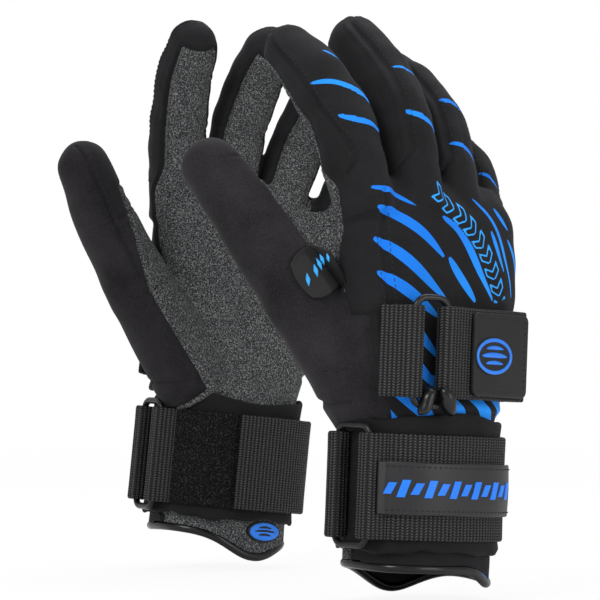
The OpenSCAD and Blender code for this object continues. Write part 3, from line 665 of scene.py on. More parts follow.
MAT = dict(
    back=jersey("stretch_back", (0.0045, 0.0045, 0.005), (0.018, 0.018, 0.020), True),
    gusset=jersey("stretch_gusset", (0.0045, 0.0045, 0.005), (0.018, 0.018, 0.020)),
    palm=heather("heather_palm"), thumb=suede("thumb_suede_cloth"),
    wrap=jersey("neoprene_skin", (0.004, 0.004, 0.004), (0.015, 0.015, 0.016)),
    web=webbing_cloth("ribbed_webbing"), pile=pile("loop_pile_cloth"),
    patent=moulded("patent_edge", (0.002, 0.002, 0.0022), 0.3, 500, 0.05, 0.2, 0.3),
    ring=moulded("ring_black", (0.006, 0.006, 0.0065), 0.32, 1400, 0.12),
    rubber=moulded("rubber_matte", (0.0035, 0.0035, 0.004), 0.55, 2600, 0.35),
    patch=moulded("patch_film", (0.0035, 0.0035, 0.004), 0.6, 1500, 0.5),
    film=moulded("label_satin", (0.013, 0.013, 0.0145), 0.44, 3200, 0.25),
    blue=moulded("badge_blue", (0.012, 0.16, 0.66), 0.42, 2400, 0.2),
    inkblue=moulded("ink_blue", (0.01, 0.16, 0.72), 0.5, 2400, 0.2),
    thread=moulded("thread_black", (0.011, 0.011, 0.012), 0.62, 5000, 0.4),
    cyan=moulded("thread_blue", (0.03, 0.32, 0.75), 0.5, 5000, 0.3),
    lining=jersey("lining_black", (0.003, 0.003, 0.003), (0.012, 0.012, 0.012)),
)

# ---------- the print on the back, in curves of its own ----------
# on fingers: (length from the knuckle, angle) points and a width; the back is at 270 degrees
FINGER_STRIPES = {
    0: [([(55, 334), (51, 300), (46, 268), (43, 235), (41, 212)], 2.6),
        ([(38, 318), (35, 285), (33, 250), (30, 215)], 2.3),
        ([(66, 278), (64, 262), (62, 246)], 1.5)],
    1: [([(56, 296), (55, 268), (53, 238)], 1.6),
        ([(38, 305), (35, 268), (32, 236), (29, 210)], 2.3)],
    2: [([(45, 296), (44, 270), (42, 246)], 1.6), ([(28, 300), (26, 262), (22, 228)], 2.2)],
    3: [([(27, 300), (25, 272), (22, 245)], 1.7), ([(44, 292), (43, 268), (41, 246)], 1.4)],
}
# on the hand: (x, z) points and a width
HAND_STRIPES = [
    ([(-44, 97), (-33, 96), (-21, 91)], 2.4),
    ([(-42, 89), (-31, 86), (-20, 80), (-9, 70)], 4.6),
    ([(-41, 76), (-28, 68), (-10, 53)], 5.2),
    ([(-40, 62), (-27, 54), (-14, 45)], 5.2),
    ([(-8, 87), (3, 79), (18, 53)], 4.2), ([(-6, 70), (7, 52)], 4.4),
    ([(13, 96), (22, 89), (30, 74), (35, 55)], 2.0), ([(21, 83), (25, 75), (28, 66)], 2.4),
    ([(27, 93), (35, 84)], 2.0), ([(34, 80), (39, 72), (42, 62)], 2.0),
    ([(-36, 46), (-26, 40), (-14, 28)], 5.0), ([(-36, 32), (-26, 26), (-14, 14)], 5.0),
    ([(-36, 20), (-24, 9), (-14, -3)], 6.4), ([(-18, 20), (-7, 8), (4, -5)], 7.0),
    ([(-2, 20), (9, 9), (20, -3)], 7.0), ([(14, 20), (24, 9), (34, -2)], 6.4),
    ([(28, 20), (35, 11), (41, 2)], 5.0), ([(-39, 12), (-34, 6), (-28, 0)], 4.6),
    ([(-30, -60), (-18, -62), (-4, -67)], 3.0), ([(2, -60), (14, -62), (26, -67)], 3.0),
]
MOTIF_LINE = [(-15, 101), (-7, 95), (5, 86), (15, 75), (21, 62), (24, 52)]


def smooth_line(points, n=28):
    """A smooth run through a few chosen points."""
    p = np.asarray(points, float)
    p = np.concatenate([[2 * p[0] - p[1]], p, [2 * p[-1] - p[-2]]])
    out = []
    for i in range(1, len(p) - 2):
        for t in np.linspace(0, 1, max(3, n // (len(p) - 3)), endpoint=i == len(p) - 3):
            a, b, c, d = p[i - 1:i + 3]
            out.append(0.5 * (2 * b + (c - a) * t + (2 * a - 5 * b + 4 * c - d) * t * t
                              + (3 * b - a - 3 * c + d) * t ** 3))
    return np.array(out)


def line_coords(xy, line):
    """(distance, length along, signed distance across) of points from a line."""
    a, b = line[:-1], line[1:]
    d = b - a
    size = np.linalg.norm(d, axis=1)
    start = np.r_[0, np.cumsum(size)]
    best = np.full(len(xy), 1e9)
    t_best, v_best = np.zeros(len(xy)), np.zeros(len(xy))
    for i in range(len(a)):
        q = xy - a[i]
        t = np.clip((q @ d[i]) / size[i] ** 2, 0, 1)
        off = q - t[:, None] * d[i]
        dist = np.linalg.norm(off, axis=1)
        near = dist < best
        best = np.where(near, dist, best)
        t_best = np.where(near, start[i] + t * size[i], t_best)
        cross = (d[i, 0] * q[:, 1] - d[i, 1] * q[:, 0]) / size[i]
        v_best = np.where(near, cross, v_best)
    return best, t_best, v_best, start[-1]


def stripe(xy, points, width):
    dist, t, _, total = line_coords(xy, smooth_line(points))
    taper = np.sin(math.pi * np.clip(t / total, 0, 1) ** 0.8)
    return width / 2 * (0.22 + 0.78 * taper ** 0.7) - dist


def radial_seam(i, s):
    """Angle below the side at which a finger's thumb-side back seam runs, at length s."""
    return np.where(i == 0, mix(56, 18, ease((s - 18) / 28)), mix(58, 50, ease((s - 50) / 25)))


# ---------- the sewn skin of one glove ----------
def solid_mesh(side, digits):
    """Points and triangles of the hand and its digits, melted into one."""
    parts = [loft(hand_rings())] + [loft(d.rings(-4 if i < 4 else -10)) for i, d in enumerate(digits)]
    solid = new_object("solid_" + side, *join(parts))
    mod = solid.modifiers.new("voxels", "REMESH")
    mod.mode, mod.voxel_size = "VOXEL", VOXEL
    mod = solid.modifiers.new("soften", "SMOOTH")
    mod.factor, mod.iterations = 0.5, 14 if VOXEL < 1.3 else 6
    made = solid.evaluated_get(bpy.context.evaluated_depsgraph_get()).to_mesh()
    v = np.empty(len(made.vertices) * 3)
    made.vertices.foreach_get("co", v)
    v = v.reshape(-1, 3)
    made.calc_loop_triangles()
    t = np.empty(len(made.loop_triangles) * 3, int)
    made.loop_triangles.foreach_get("vertices", t)
    t = t.reshape(-1, 3)
    bpy.data.objects.remove(solid)
    return v, t


def printed(x, z, s, th, owner, dorsal, low, on_back):
    """The blue bands and the outlined chevrons, as distances that are above zero in the ink."""
    xz = np.stack([x, z], 1)
    blue = np.full(len(x), -3.0)
    for points, width in HAND_STRIPES:
        d = stripe(xz, points, width)
        blue = np.where(dorsal & low, np.maximum(blue, np.maximum(d, -3)), blue)
    arc = math.pi / 180 * SIDE_ROUND
    for i, group in FINGER_STRIPES.items():
        for points, width in group:
            d = stripe(np.stack([s[i], (th[i] % 360) * arc], 1), [(a, b * arc) for a, b in points],
                       width)
            blue = np.where((owner == i) & on_back, np.maximum(blue, np.maximum(d, -3)), blue)
    dist, run, across, total = line_coords(xz, smooth_line(MOTIF_LINE, 40))
    start = total * 0.06
    cell = ((run - start) % 7.2) - 3.6 - 0.7 * (2.4 - np.abs(across))
    motif = np.maximum(np.abs(across) - 4.2, np.abs(cell) - 1.7)
    inside = dorsal & (dist < 8) & (run > 1) & (run < total - 1) & (run >= start)
    motif = np.where(inside, motif, 4.0)
    blue = np.where(np.abs(across) + np.where(dist < 8, 0, 9) < 5.2, np.minimum(blue, -0.5), blue)
    return blue, motif


def bend_with(side, obj, digit, span):
    """Bakes a piece's placement into its points; the points at the span's two lengths along the digit
    are worked out but not used.
    """
    ends = place(side, [digit.at(np.array(float(e)))[0] for e in span])
    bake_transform(obj)


def build_skin(side):
    """Makes the glove's cloth, cuts it along its seams, puts the hand's parts on the glove's body and
    bakes the digits' parts in place.
    """
    digits = make_digits(side)
    v, t = solid_mesh(side, digits)
    info = [d.coords(v) for d in digits]
    s, th, rho, q = (np.array([x[i] for x in info]) for i in range(4))
    x, y, z = v.T
    f = (x - section(z, 1)) / section(z, 3)
    centre = section(z, 2)
    owner = rho[:4].argmin(0)
    pick = (owner, np.arange(len(v)))
    so, tho, qo = s[pick], th[pick], q[pick]
    other = np.sort(rho[:4], 0)[1]
    radius = SIDE_ROUND
    on_finger = ease((so - 8) / 14)
    long = np.array(REACH, float)[owner]

    # each field below is above zero on its own cloth, and its zero is a seam
    knuckle_side = 7 * np.exp(-((z - 62) / 14) ** 2) * ease((-0.6 - f) / 0.2)
    palm_strip = np.minimum((qo - math.sin(math.radians(PALM_SEAM))) * radius * 1.2, long + 3 - so)
    palm = mix(y - centre - knuckle_side, palm_strip, on_finger)
    side_seam = np.where(np.cos(np.radians(tho)) > 0, radial_seam(owner, so), BACK_SEAM)
    back = mix(centre - y, (-qo - np.sin(np.radians(side_seam))) * radius * 1.2, on_finger)
    # thumb: all round near the tip, and from the seam round the outside lower down
    round_thumb = th[4] % 360
    first = 60 + 55 * np.clip((s[4] - 48) / 50, 0, 1) ** 1.3
    last = mix(228, 205, ease((s[4] - 36) / 20))
    knit = np.minimum(np.minimum(round_thumb - first, last - round_thumb) * math.pi / 180 * 15,
                      98 - s[4])
    palm = palm - 12 * ease((round_thumb - 196) / 10) * ((rho[4] < 1.2) & (s[4] > 0)
                                                         & (round_thumb < 300))
    palm = palm - 8 * ease((-50 - z) / 4) * ease((-0.7 - f) / 0.2)
    thumb = np.minimum((1.13 - rho[4]) * 16, -knit)
    thumb = np.minimum(thumb, z - 2 - 30 * (f + 0.84))
    thumb = np.maximum(thumb, np.minimum(np.minimum((-0.95 - f) * 40, 44 - z),
                                         np.minimum(11 - (y - centre), z + 20)))
    zones = []
    for i in range(4):
        gap = (np.where(owner == i, other, rho[:4].min(0)) - rho[i]) * radius
        zones.append(np.minimum(s[i] - 12, gap))
    zones.append(np.minimum(s[4] - 40, (1.22 - rho[4]) * 16))

    # folds and seams, as moves along the skin's own normals
    n = vertex_normals(v, t)
    move = (0.42 * np.sin(x / 9 + 1.3 * np.sin(z / 17)) * np.sin(z / 13 + y / 8)
            + 0.28 * np.sin(x / 4.3 + z / 5.1 + y / 3.7) * np.sin(z / 6.1 - x / 9))
    wrinkle = 0
    for i, d in enumerate(digits):
        mine = (owner == i) & (s[i] > 8) if i < 4 else (rho[4] < 1.15) & (s[4] > 8)
        for at, deep in ((d.joints[0], 1.0), (d.joints[1], 0.8)):
            for shift, share in ((0, 1), (-4.5, 0.55), (4.5, 0.5)):
                line = s[i] - at - shift - 1.2 * np.sin(th[i] * math.pi / 90 + shift)
                wrinkle = wrinkle - mine * deep * share * 0.9 * np.exp(-(line / 1.1) ** 2) \
                    * np.clip(q[i] * 1.6, 0, 1)
        wrinkle = wrinkle - mine * 0.25 * np.sin(s[i] / 2.4 + th[i] / 40) * np.clip(-q[i], 0, 1) \
            * np.exp(-((s[i] - d.joints[0]) / 9) ** 2)
    crease = -0.9 * np.exp(-((z - 12 - 0.12 * x) / 1.3) ** 2) * (y > 0) \
        - 0.7 * np.exp(-((z - 20 - 0.3 * x) / 1.5) ** 2) * (y > 0) * (x < 0)
    finger_part = (so > 14) & (rho[:4].min(0) < 1.3)
    on_thumb = rho[4] < 1.3
    seam = np.abs(palm) + np.where(on_thumb & (thumb > 0), 9, 0)
    seam = np.minimum(seam, np.abs(back) + np.where(finger_part, 0, 9))
    seam = np.minimum(seam, np.abs(thumb))
    by_back_line = (y < centre) & (z > 44) & (z < 97) & ~on_thumb
    back_line = np.abs(f + 0.8) * 44 + np.where(by_back_line, 0, 9)
    seam = np.minimum(seam, back_line)
    middle_seam = np.abs((th[4] - 60 + 180) % 360 - 180) * math.pi / 180 * 13
    seam = np.minimum(seam, middle_seam + np.where((s[4] > 58) & (rho[4] < 1.2), 0, 9))
    groove = -1.0 * np.exp(-(seam / 1.0) ** 2) + 0.4 * np.exp(-((seam - 2.3) / 1.1) ** 2)
    puff = 1.5 * np.exp(-((z - 7.3) / 2.6) ** 2) * (y < centre) * ease((f + 0.85) / 0.2)
    v = v + n * (move + wrinkle + crease + groove + puff)[:, None]
    normal = vertex_normals(v, t)

    blue, motif = printed(x, z, s, th, owner, (y < centre + 2) & ~((rho[4] < 1.16) & (s[4] > 0)),
                          ~(so > 22) | (rho[:4].min(0) > 1.4), (so > 12) & (qo < -0.2))

    a = np.stack([z - hem(f, y > 0), *zones, thumb, palm, back, blue, motif, *normal.T], 1)
    tree = BVHTree.FromPolygons([tuple(p) for p in v], [tuple(int(i) for i in g) for g in t])
    for i in range(9):
        v, t, a = split(v, t, a, i)
    mean = a[t].mean(1)
    t = t[mean[:, 0] > 0]
    mean = a[t].mean(1)
    zone = np.full(len(t), -1)
    for i in range(5):
        zone = np.where(mean[:, 1 + i] > 0, i, zone)
    # 0 thumb suede, 1 palm knit, 2 back, 3 gusset
    cloth = np.where(mean[:, 6] > 0, 0, np.where(mean[:, 7] > 0, 1, np.where(mean[:, 8] > 0, 2, 3)))
    names = {(-1, 0): "thumb_base", (-1, 1): "hand_palm", (-1, 2): "hand_back",
             (4, 0): "thumb_tip", (4, 1): "thumb_web"}
    for i, name in enumerate(FINGERS):
        names.update({(i, 1): name + "_palm", (i, 2): name + "_back", (i, 3): name + "_gusset"})
    mats = (MAT["thumb"], MAT["palm"], MAT["back"], MAT["gusset"])
    cloth = np.where((zone == -1) & (cloth == 3), 2, cloth)
    cloth = np.where((zone == 4) & (cloth > 1), 1, cloth)
    cloth = np.where((zone > -1) & (zone < 4) & (cloth == 0), 3, cloth)
    for (g, c), name in names.items():
        mine = t[(zone == g) & (cloth == c)]
        if not len(mine):
            continue
        used, faces = np.unique(mine, return_inverse=True)
        faces = faces.reshape(-1, 3)
        if SIDES[side]["flip"] < 0:
            faces = faces[:, ::-1]
        obj = piece(side, name + "_cloth", v[used], faces, mats[c])
        flat = place(side, v[used] + a[used, 11:14]) - place(side, v[used])
        obj.data.normals_split_custom_set_from_vertices([tuple(p) for p in unit(flat)])
        store(obj, print=a[used, 9], motif=a[used, 10])
        if name != "thumb_web":
            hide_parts(f"{side}_{name}")
        if g == -1:
            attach(obj, f"{side}_glove")
        elif g == 4:
            bend_with(side, obj, digits[4], THUMB_BEND)
        else:
            bend_with(side, obj, digits[g], FINGER_BEND)
    return digits, tree


def on_skin(tree, points, lift=0.0):
    """Nearest points of the skin and their normals."""
    p, n = [], []
    for q in points:
        hit, normal, _, _ = tree.find_nearest(Vector(q))
        p.append(np.array(hit) + lift * np.array(normal))
        n.append(np.array(normal))
    return np.array(p), np.array(n)


# ---------- straps, rings and trims of one glove ----------
def ride(side, obj, part="glove", node=None):
    """Puts a piece on one of the glove's bodies, in place of the CAD node it shows."""
    if node:
        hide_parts(f"{side}_{node}")
    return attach(obj, f"{side}_{part}")


def folded(edge, far, n=60):
    """Plan path of webbing folded back round one bar of the wrist ring."""
    o = BAR_GAP
    near = edge * STRAP_LEAVES
    path = [wrist_line(mix(far, near, i / n), 2.6 + THICK / 2) for i in range(n + 1)]
    path += [np.array([RING_X + a, edge * (RING_Y + b)]) for a, b in
             ((-o, o), (-o, 0), (-o, -o), (0, -o), (o, -o), (o, 0), (o, 0.9))]
    return path


def wrap_and_lining(side):
    """The neoprene wrap under the webbing, and the lining seen through the cuff."""
    def wrap(u, z):
        a = np.radians(u)
        top, bottom = ease((z + 6) / 9), ease((-46 - z) / 6)
        swell = 1.3 + top * (0.5 + 0.6 * np.sin(3 * a + 1)) \
            + bottom * (0.8 + 0.5 * np.sin(5 * a + 2) + 0.3 * np.sin(11 * a))
        xy = wrist_line(u, 0) + unit(wrist_line(u, 1) - wrist_line(u, 0)) * swell[:, None]
        z = z + top * (1.6 * np.sin(3 * a - 0.6) + 0.5 * np.sin(7 * a) - 0.6) \
            + bottom * (0.8 * np.sin(4 * a) + 0.4 * np.sin(13 * a + 2))
        return np.concatenate([xy, z[:, None]], 1)

    ride(side, shell(side, "wrist_wrap_cloth", wrap, np.arange(0, 360, 1.0), WRAP_LOW, WRAP_HIGH,
                     WRAP_THICK, MAT["wrap"], closed=True, outward=-1),
         node="wrist_wrap")

    count = 60
    turn = np.radians(np.arange(count) * 360 / count)
    rows = []
    heights = (-62, -55, -40, -20, 0, 16, 30, 45, 60, 74)
    for z in heights:
        a, b = section(z, 3) - LINING_GAP, section(z, 4) - LINING_GAP
        ring = np.stack([section(z, 1) + a * power(np.cos(turn)),
                         section(z, 2) + b * power(np.sin(turn)), np.full(count, float(z))], -1)
        if z == heights[0]:
            ring[:, 2] = hem((ring[:, 0] - WRIST_X) / a, ring[:, 1] > 0) + 0.5
        rows.append(ring)
    v, faces = loft(rows, False)
    faces.append(tuple((len(rows) - 1) * count + i for i in range(count)))
    ride(side, piece(side, "lining", v, faces, MAT["lining"]))


def wrist_straps(side):
    """Fixed webbing, pile run with its sewn fold, and the free end that closes on the pile."""
    low, high = WRIST_LOW, WRIST_LOW + WEB
    fn, u = along(folded(-1, -174))
    ride(side, shell(side, "wrist_strap_webbing", fn, u, low, high, THICK, MAT["web"], rib=RIB),
         node="wrist_strap")
    fn, u = along(folded(1, 150))
    sewn_at = u[-1] - PILE_FOLD
    ride(side, shell(side, "pile_strip_cloth", fn, u[u < sewn_at + 2], low, high, THICK + 0.3,
                     MAT["pile"], outward=-1), node="pile_strip")
    ride(side, shell(side, "pile_fold_webbing", fn, u[u > sewn_at], low, high, THICK, MAT["web"],
                     rib=RIB, outward=-1))
    end_angle, end_out = 82, 3.8 + 1.5 * THICK
    fn, u = along([wrist_line(mix(181, end_angle, i / 50), end_out) for i in range(51)])
    ride(side, shell(side, "wrist_strap_end_webbing", fn, u, low, high, THICK, MAT["web"], rib=RIB),
         "wrist_tail", "wrist_strap_end")
    runs = []
    for step in (2, 7):
        x, y = wrist_line(end_angle + step, end_out)
        z = np.linspace(low + 2, high - 2, 30)
        p = np.stack([np.full(30, x), np.full(30, y), z], 1)
        runs.append((p + (0, THICK / 2 + 0.1, 0), (0, 1, 0)))
    ride(side, sewn(side, "wrist_tail_stitches", runs, MAT["thread"]), "wrist_tail")

    ring = ring_outline(RING_Y, WEB / 2 + 1.2 + BAR / 2, 4.5)
    ring = np.array([(RING_X, p[0], low + WEB / 2 + p[1]) for p in ring])
    ride(side, tube_loop(side, "wrist_ring_bar", ring, BAR / 2, MAT["ring"]), node="wrist_ring")


def label(side):
    """The label panel on the wrist webbing, with a row of slanted bars."""
    middle_z = (LABEL_LOW + LABEL_HIGH) / 2
    over = 2.9 + THICK + 0.9
    at_ring = np.array([RING_X - BAR_GAP, -RING_Y - BAR_GAP - THICK / 2 - 1.1])
    path = [mix(at_ring, wrist_line(-STRAP_LEAVES, over), 0.3)]
    path += [wrist_line(mix(-STRAP_LEAVES, -148, i / 60), over) for i in range(61)]
    line, lengths = along(path)
    end, crown = lengths[-1], 0.35

    def outward(p):
        return unit(p * (1, 1, 0) - (WRIST_X, 0, 0))

    def crowned(u, z):
        rise = crown * np.clip(1 - ((z - middle_z) / 10) ** 2, 0, 1)
        p = line(u, z)
        return p + rise[:, None] * outward(p)

    ride(side, shell(side, "label_panel_film", crowned, np.linspace(1, end - 1, 150), LABEL_LOW,
                     LABEL_HIGH, 1.2, MAT["film"], selvedge=0.1),
         node="label_panel")
    runs = []
    for z in (LABEL_LOW + 2.0, LABEL_HIGH - 2.0):
        p = crowned(np.linspace(2, end - 2, 120), np.full(120, z))
        runs.append((p + 0.72 * outward(p), outward(p)))
    ride(side, sewn(side, "label_stitches", runs, MAT["thread"], radius=0.34))
    bars, count = [], 12
    for i in range(count):
        mid = mix(7, end - 12, i / (count - 1))
        tall = 3.6 if i % 2 else 2.4
        corners = np.array([(mid - 2.9, middle_z - tall), (mid + 0.5, middle_z - tall),
                            (mid + 2.9, middle_z + tall), (mid - 0.5, middle_z + tall)])
        q = np.array([mix(corners[e], corners[(e + 1) % 4], j / 4) for e in range(4)
                      for j in range(4)])
        p = crowned(q[:, 0], q[:, 1])
        bars.append(loft([p + lift * outward(p) for lift in (0.35, 1.0)]))
    ride(side, piece(side, "label_bars", *join(bars), MAT["inkblue"], False))


def bindings(side):
    """The hem's binding and the two bound rolls of the slit."""
    f = np.linspace(-1, 1, 90)
    loop = np.concatenate([hand_point(hem(f, True), f, 1, -1.1),
                           hand_point(hem(f, False), f, -1, -1.1)[::-1][1:-1]])
    for _ in range(6):
        loop = (np.roll(loop, 1, 0) + 2 * loop + np.roll(loop, -1, 0)) / 4
    loop = loop[np.r_[True, np.linalg.norm(np.diff(loop, axis=0), axis=1) > 0.2]]
    ride(side, tube_loop(side, "edge_binding_roll", loop - (0, 0, 1.6), 2.0, MAT["patent"]),
         node="edge_binding")
    turn = np.linspace(0, 2 * math.pi, 40, endpoint=False)
    half, radius, lean = 6.2, 3.6, math.radians(16)
    for i, s in enumerate((-1, 1)):
        c, sn = math.cos(s * lean), math.sin(s * lean)
        at = hand_point(9.8, -0.6 + s * 0.12, -1) - (0, 8.8, 0)
        rows = []
        for w in np.linspace(-1, 1, 26):
            r = radius * math.sqrt(max(0.02, 1 - abs(w) ** 3)) * (1 + 0.08 * math.sin(3.1 * w + s))
            mid = at + np.array([-sn * w * half, 0.5 * w * w, c * w * half])
            rows.append(mid + r * (np.cos(turn)[:, None] * np.array([c, 0, -sn])
                                   + np.sin(turn)[:, None] * (0, 1, 0)))
        ride(side, piece(side, f"slit_roll_{i}", *loft(rows), MAT["patent"]))


def hand_straps(side):
    """Anchor webbing, ring, the webbing sewn over the hand, and the free tail."""
    low, high = STRAP_LOW, STRAP_LOW + HAND_WEB

    def frame_point(p):
        return turned(p, FRAME_TURN) + FRAME_AT

    across = turned((1, 0), FRAME_TURN)
    ring = ring_outline(RING_HALF, HAND_WEB / 2 + 1.8 + BAR / 2, 5)
    ring = np.array([(*(FRAME_AT + across * p[0]), (low + high) / 2 + p[1]) for p in ring])
    ride(side, tube_loop(side, "hand_ring_bar", ring, BAR / 2, MAT["ring"]), node="hand_ring")

    o, out = BAR_GAP, -RING_HALF
    hook = [(out - 3, 2.7), (out + 1, 2.7), (out + o, 1.8), (out + o, 0), (out + o, -1.8),
            (out + 1, -2.7), (out - 1, -2.7), (out - 3.4, -1.9)]
    fn, u = along([frame_point(p) for p in hook] + [np.array([-40.6, -14.8])], 0.25)
    ride(side, shell(side, "strap_anchor_webbing", fn, u, low, high, THICK * 0.9, MAT["web"],
                     rib=RIB), node="strap_anchor")

    def strap(u, z):
        f = mix(-0.1, 0.985, np.clip(u, -0.5, 100.5) / 100)
        return hand_point(z, f, -1, 0.7 + THICK / 2)

    ride(side, shell(side, "hand_strap_webbing", strap, np.linspace(0, 100, 330), low, high, THICK,
                     MAT["web"], rib=RIB, pitch=3.0, outward=-1), node="hand_strap")
    bar = frame_point((RING_HALF, 0))
    eye = BAR * 0.71 + 0.25 + THICK / 2
    path = [TAB_AT + turned((TAB_LENGTH + 2, THICK / 2), TAB_TURN),
            TAB_AT + turned((0, THICK / 2), TAB_TURN)]
    path += [bar + eye * np.array([math.cos(a), math.sin(a)])
             for a in np.radians([-90 + FRAME_TURN - 15 * i for i in range(18)])]
    fn, u = along(path)
    ride(side, shell(side, "strap_tail_webbing", fn, u, low, high, THICK * 0.95, MAT["web"],
                     rib=RIB), "strap_tail", "hand_strap_tail")


def coin(side, name, centre, x_way, y_way, out_way, rx, ry, material, profile):
    """An oval disc, lofted through (share of the radius, height) pairs."""
    turn = np.radians(np.arange(64) * 360 / 64)[:, None]
    rows = [centre + out_way * h + (np.cos(turn) * x_way * rx + np.sin(turn) * y_way * ry) * share
            for share, h in profile]
    return piece(side, name, *loft(rows), material)


def bar_mark(centre, x_way, y_way, out_way, half, fat, arch, rise):
    """A low bar, thick in its middle and slightly arched."""
    w = np.linspace(-1, 1, 30)
    q = np.radians(np.arange(8) * 45)[:, None]
    line = centre + x_way * half * w[:, None] + y_way * (arch * (1 - w * w))[:, None]
    b = np.cross(unit(np.gradient(line, axis=0)), out_way)
    return loft([line[i] + fat * math.sqrt(max(0.02, 1 - w[i] ** 2)) * np.cos(q) * b[i]
                 + rise * np.sin(q) * out_way for i in range(30)])


def pull_tab(side):
    """The rubber tab with its sewn rim, and an oval badge with a ring and three bars."""
    x_way = np.array([*turned((1, 0), TAB_TURN), 0])
    y_way = np.array([0.0, 0.0, 1.0])
    out_way = np.cross(x_way, y_way)
    base = np.array([*TAB_AT, STRAP_LOW + HAND_WEB / 2]) + x_way * (TAB_LENGTH / 2 + 0.5)
    lift, thick = 0.1, 2.3
    ride(side, plate(side, "pull_tab_body", round_box(TAB_LENGTH / 2, HAND_WEB / 2 - 1.6, 3),
                     base + out_way * lift, x_way, y_way, thick, MAT["rubber"], 0.7),
         "strap_tail", "pull_tab")
    rim = [np.array(p) for p in round_box(TAB_LENGTH / 2 - 2.2, HAND_WEB / 2 - 3.8, 2.2, 8)]
    run = []
    for a, b in zip(rim, rim[1:] + rim[:1]):
        steps = max(1, int(np.linalg.norm(a - b) / 1.5))
        run += [mix(a, b, j / steps) for j in range(steps)]
    top_at = base + out_way * (lift + thick)
    run = np.array([top_at + x_way * p[0] + y_way * p[1] for p in run + run[:1]])
    ride(side, sewn(side, "tab_stitches", [(run, out_way)], MAT["thread"], radius=0.2),
         "strap_tail")

    at = top_at - x_way * 5.5 - y_way * 0.5
    ride(side, coin(side, "badge_disc", at, x_way, y_way, out_way, 12.8, 8.0, MAT["rubber"],
                    [(1.0, -0.1), (1.0, 0.3), (0.97, 0.5), (0.9, 0.55), (0.88, 0.4), (0.5, 0.42),
                     (0.05, 0.43)]), "strap_tail")
    turn = np.radians(np.arange(64) * 360 / 64)[:, None]
    ring = at + out_way * 0.4 + x_way * 11.4 * np.cos(turn) + y_way * 6.8 * np.sin(turn)
    b = np.cross(unit(np.roll(ring, -1, 0) - np.roll(ring, 1, 0)), out_way)
    q = np.radians(np.arange(8) * 45)[:, None]
    rows = [ring[i % 64] + 0.85 * np.cos(q) * b[i % 64] + 0.4 * np.sin(q) * out_way
            for i in range(65)]
    parts = [loft(rows, False)]
    parts += [bar_mark(at + out_way * 0.42 + y_way * shift, x_way, y_way, out_way, half, fat,
                       0.5, 0.35)
              for shift, half, fat in ((3.1, 5.8, 0.85), (0.0, 8.4, 1.15), (-3.1, 5.8, 0.85))]
    ride(side, piece(side, "badge_bars", *join(parts), MAT["blue"]), "strap_tail", "tab_badge")


def thumb_patch(side, thumb):
    """The coated patch over the thumb crotch, its stitched edge and its printed dashes."""
    way = unit((-0.35, -0.93, 0.1))

    def patch(u, t, lift=0.0):
        z, s = mix(50, 70, t), mix(44, 62, t)
        lead = 1 - 0.3 * np.clip(2 * t - 1, -1, 1) ** 4
        h = thumb.point(s, mix(-118, -80, lead), 0.8)
        g = thumb.point(s, -118, 0.8)
        e = thumb.point(s, -140, 0.8)
        m = mix(e, hand_point(z, -0.95, -1, 0.9), (0.4 * lead)[:, None])
        w = np.clip(u / 10, 0, 3)[:, None]
        p = np.where(w < 1, mix(h, g, w), np.where(w < 2, mix(g, e, w - 1), mix(e, m, w - 2)))
        return p + (1.1 + lift) * way

    def rounded(u, t):
        narrow = 1 - 0.3 * np.abs(np.clip(u, 0, 30) / 15 - 1) ** 6
        return patch(u, 0.5 + (t / 20 - 0.5) * narrow * 1.22)

    obj = shell(side, "thumb_patch_film", rounded, np.linspace(0.3, 29.7, 60), 0.2, 19.8, 1.2,
                MAT["patch"], selvedge=0.1)
    mod = obj.modifiers.new("soften", "SMOOTH")
    mod.factor, mod.iterations = 0.5, 20
    ride(side, obj, node="thumb_patch")
    edge = [(a, 0.5) for a in np.linspace(3, 27, 14)] + [(27, b) for b in np.linspace(2, 18, 10)] \
        + [(a, 19.5) for a in np.linspace(27, 3, 14)] + [(3, b) for b in np.linspace(18, 2, 10)]
    edge = np.array(edge, float)
    run = patch(edge[:, 0], edge[:, 1] / 20, 0.6)
    ride(side, sewn(side, "patch_stitches", [(run, way)], MAT["thread"], radius=0.22))
    runs = []
    for i in range(5):
        u, t = np.array([3.5, 6.6]) + 5.0 * i, np.array([0.3, 0.64]) + 0.06 * i
        runs.append((patch(u, t, 0.7), way))
    ride(side, sewn(side, "patch_dashes", runs, MAT["cyan"], length=5.6, pitch=6.4, radius=1.1))


def tongue_badge(side, tree):
    """The oval badge on the palm side's pull tongue."""
    at, n = on_skin(tree, [hand_point(-57.5, 0.42, 1)])
    at, n = at[0], unit(n[0] * (1, 1, 0.2))
    x_way = unit(np.cross((0, 0, 1.0), n))
    y_way = np.cross(n, x_way)
    ride(side, coin(side, "oval_badge_rim", at, x_way, y_way, n, 9.8, 5.0, MAT["rubber"],
                    [(1, -0.8), (1, 0.5), (0.97, 0.8), (0.9, 0.8), (0.5, 0.7), (0.05, 0.7)]))
    ride(side, coin(side, "oval_badge", at + n * 0.3, x_way, y_way, n, 8.9, 4.2, MAT["blue"],
                    [(1, 0.2), (0.98, 0.75), (0.9, 0.85), (0.5, 0.95), (0.05, 1.0)]))
    parts = [bar_mark(at + n * 1.25 + y_way * shift, x_way, y_way, n, half, 0.55, 0.4, 0.25)
             for shift, half in ((1.7, 3.6), (0.0, 6.0), (-1.7, 3.6))]
    ride(side, piece(side, "oval_badge_bars", *join(parts), MAT["rubber"]))


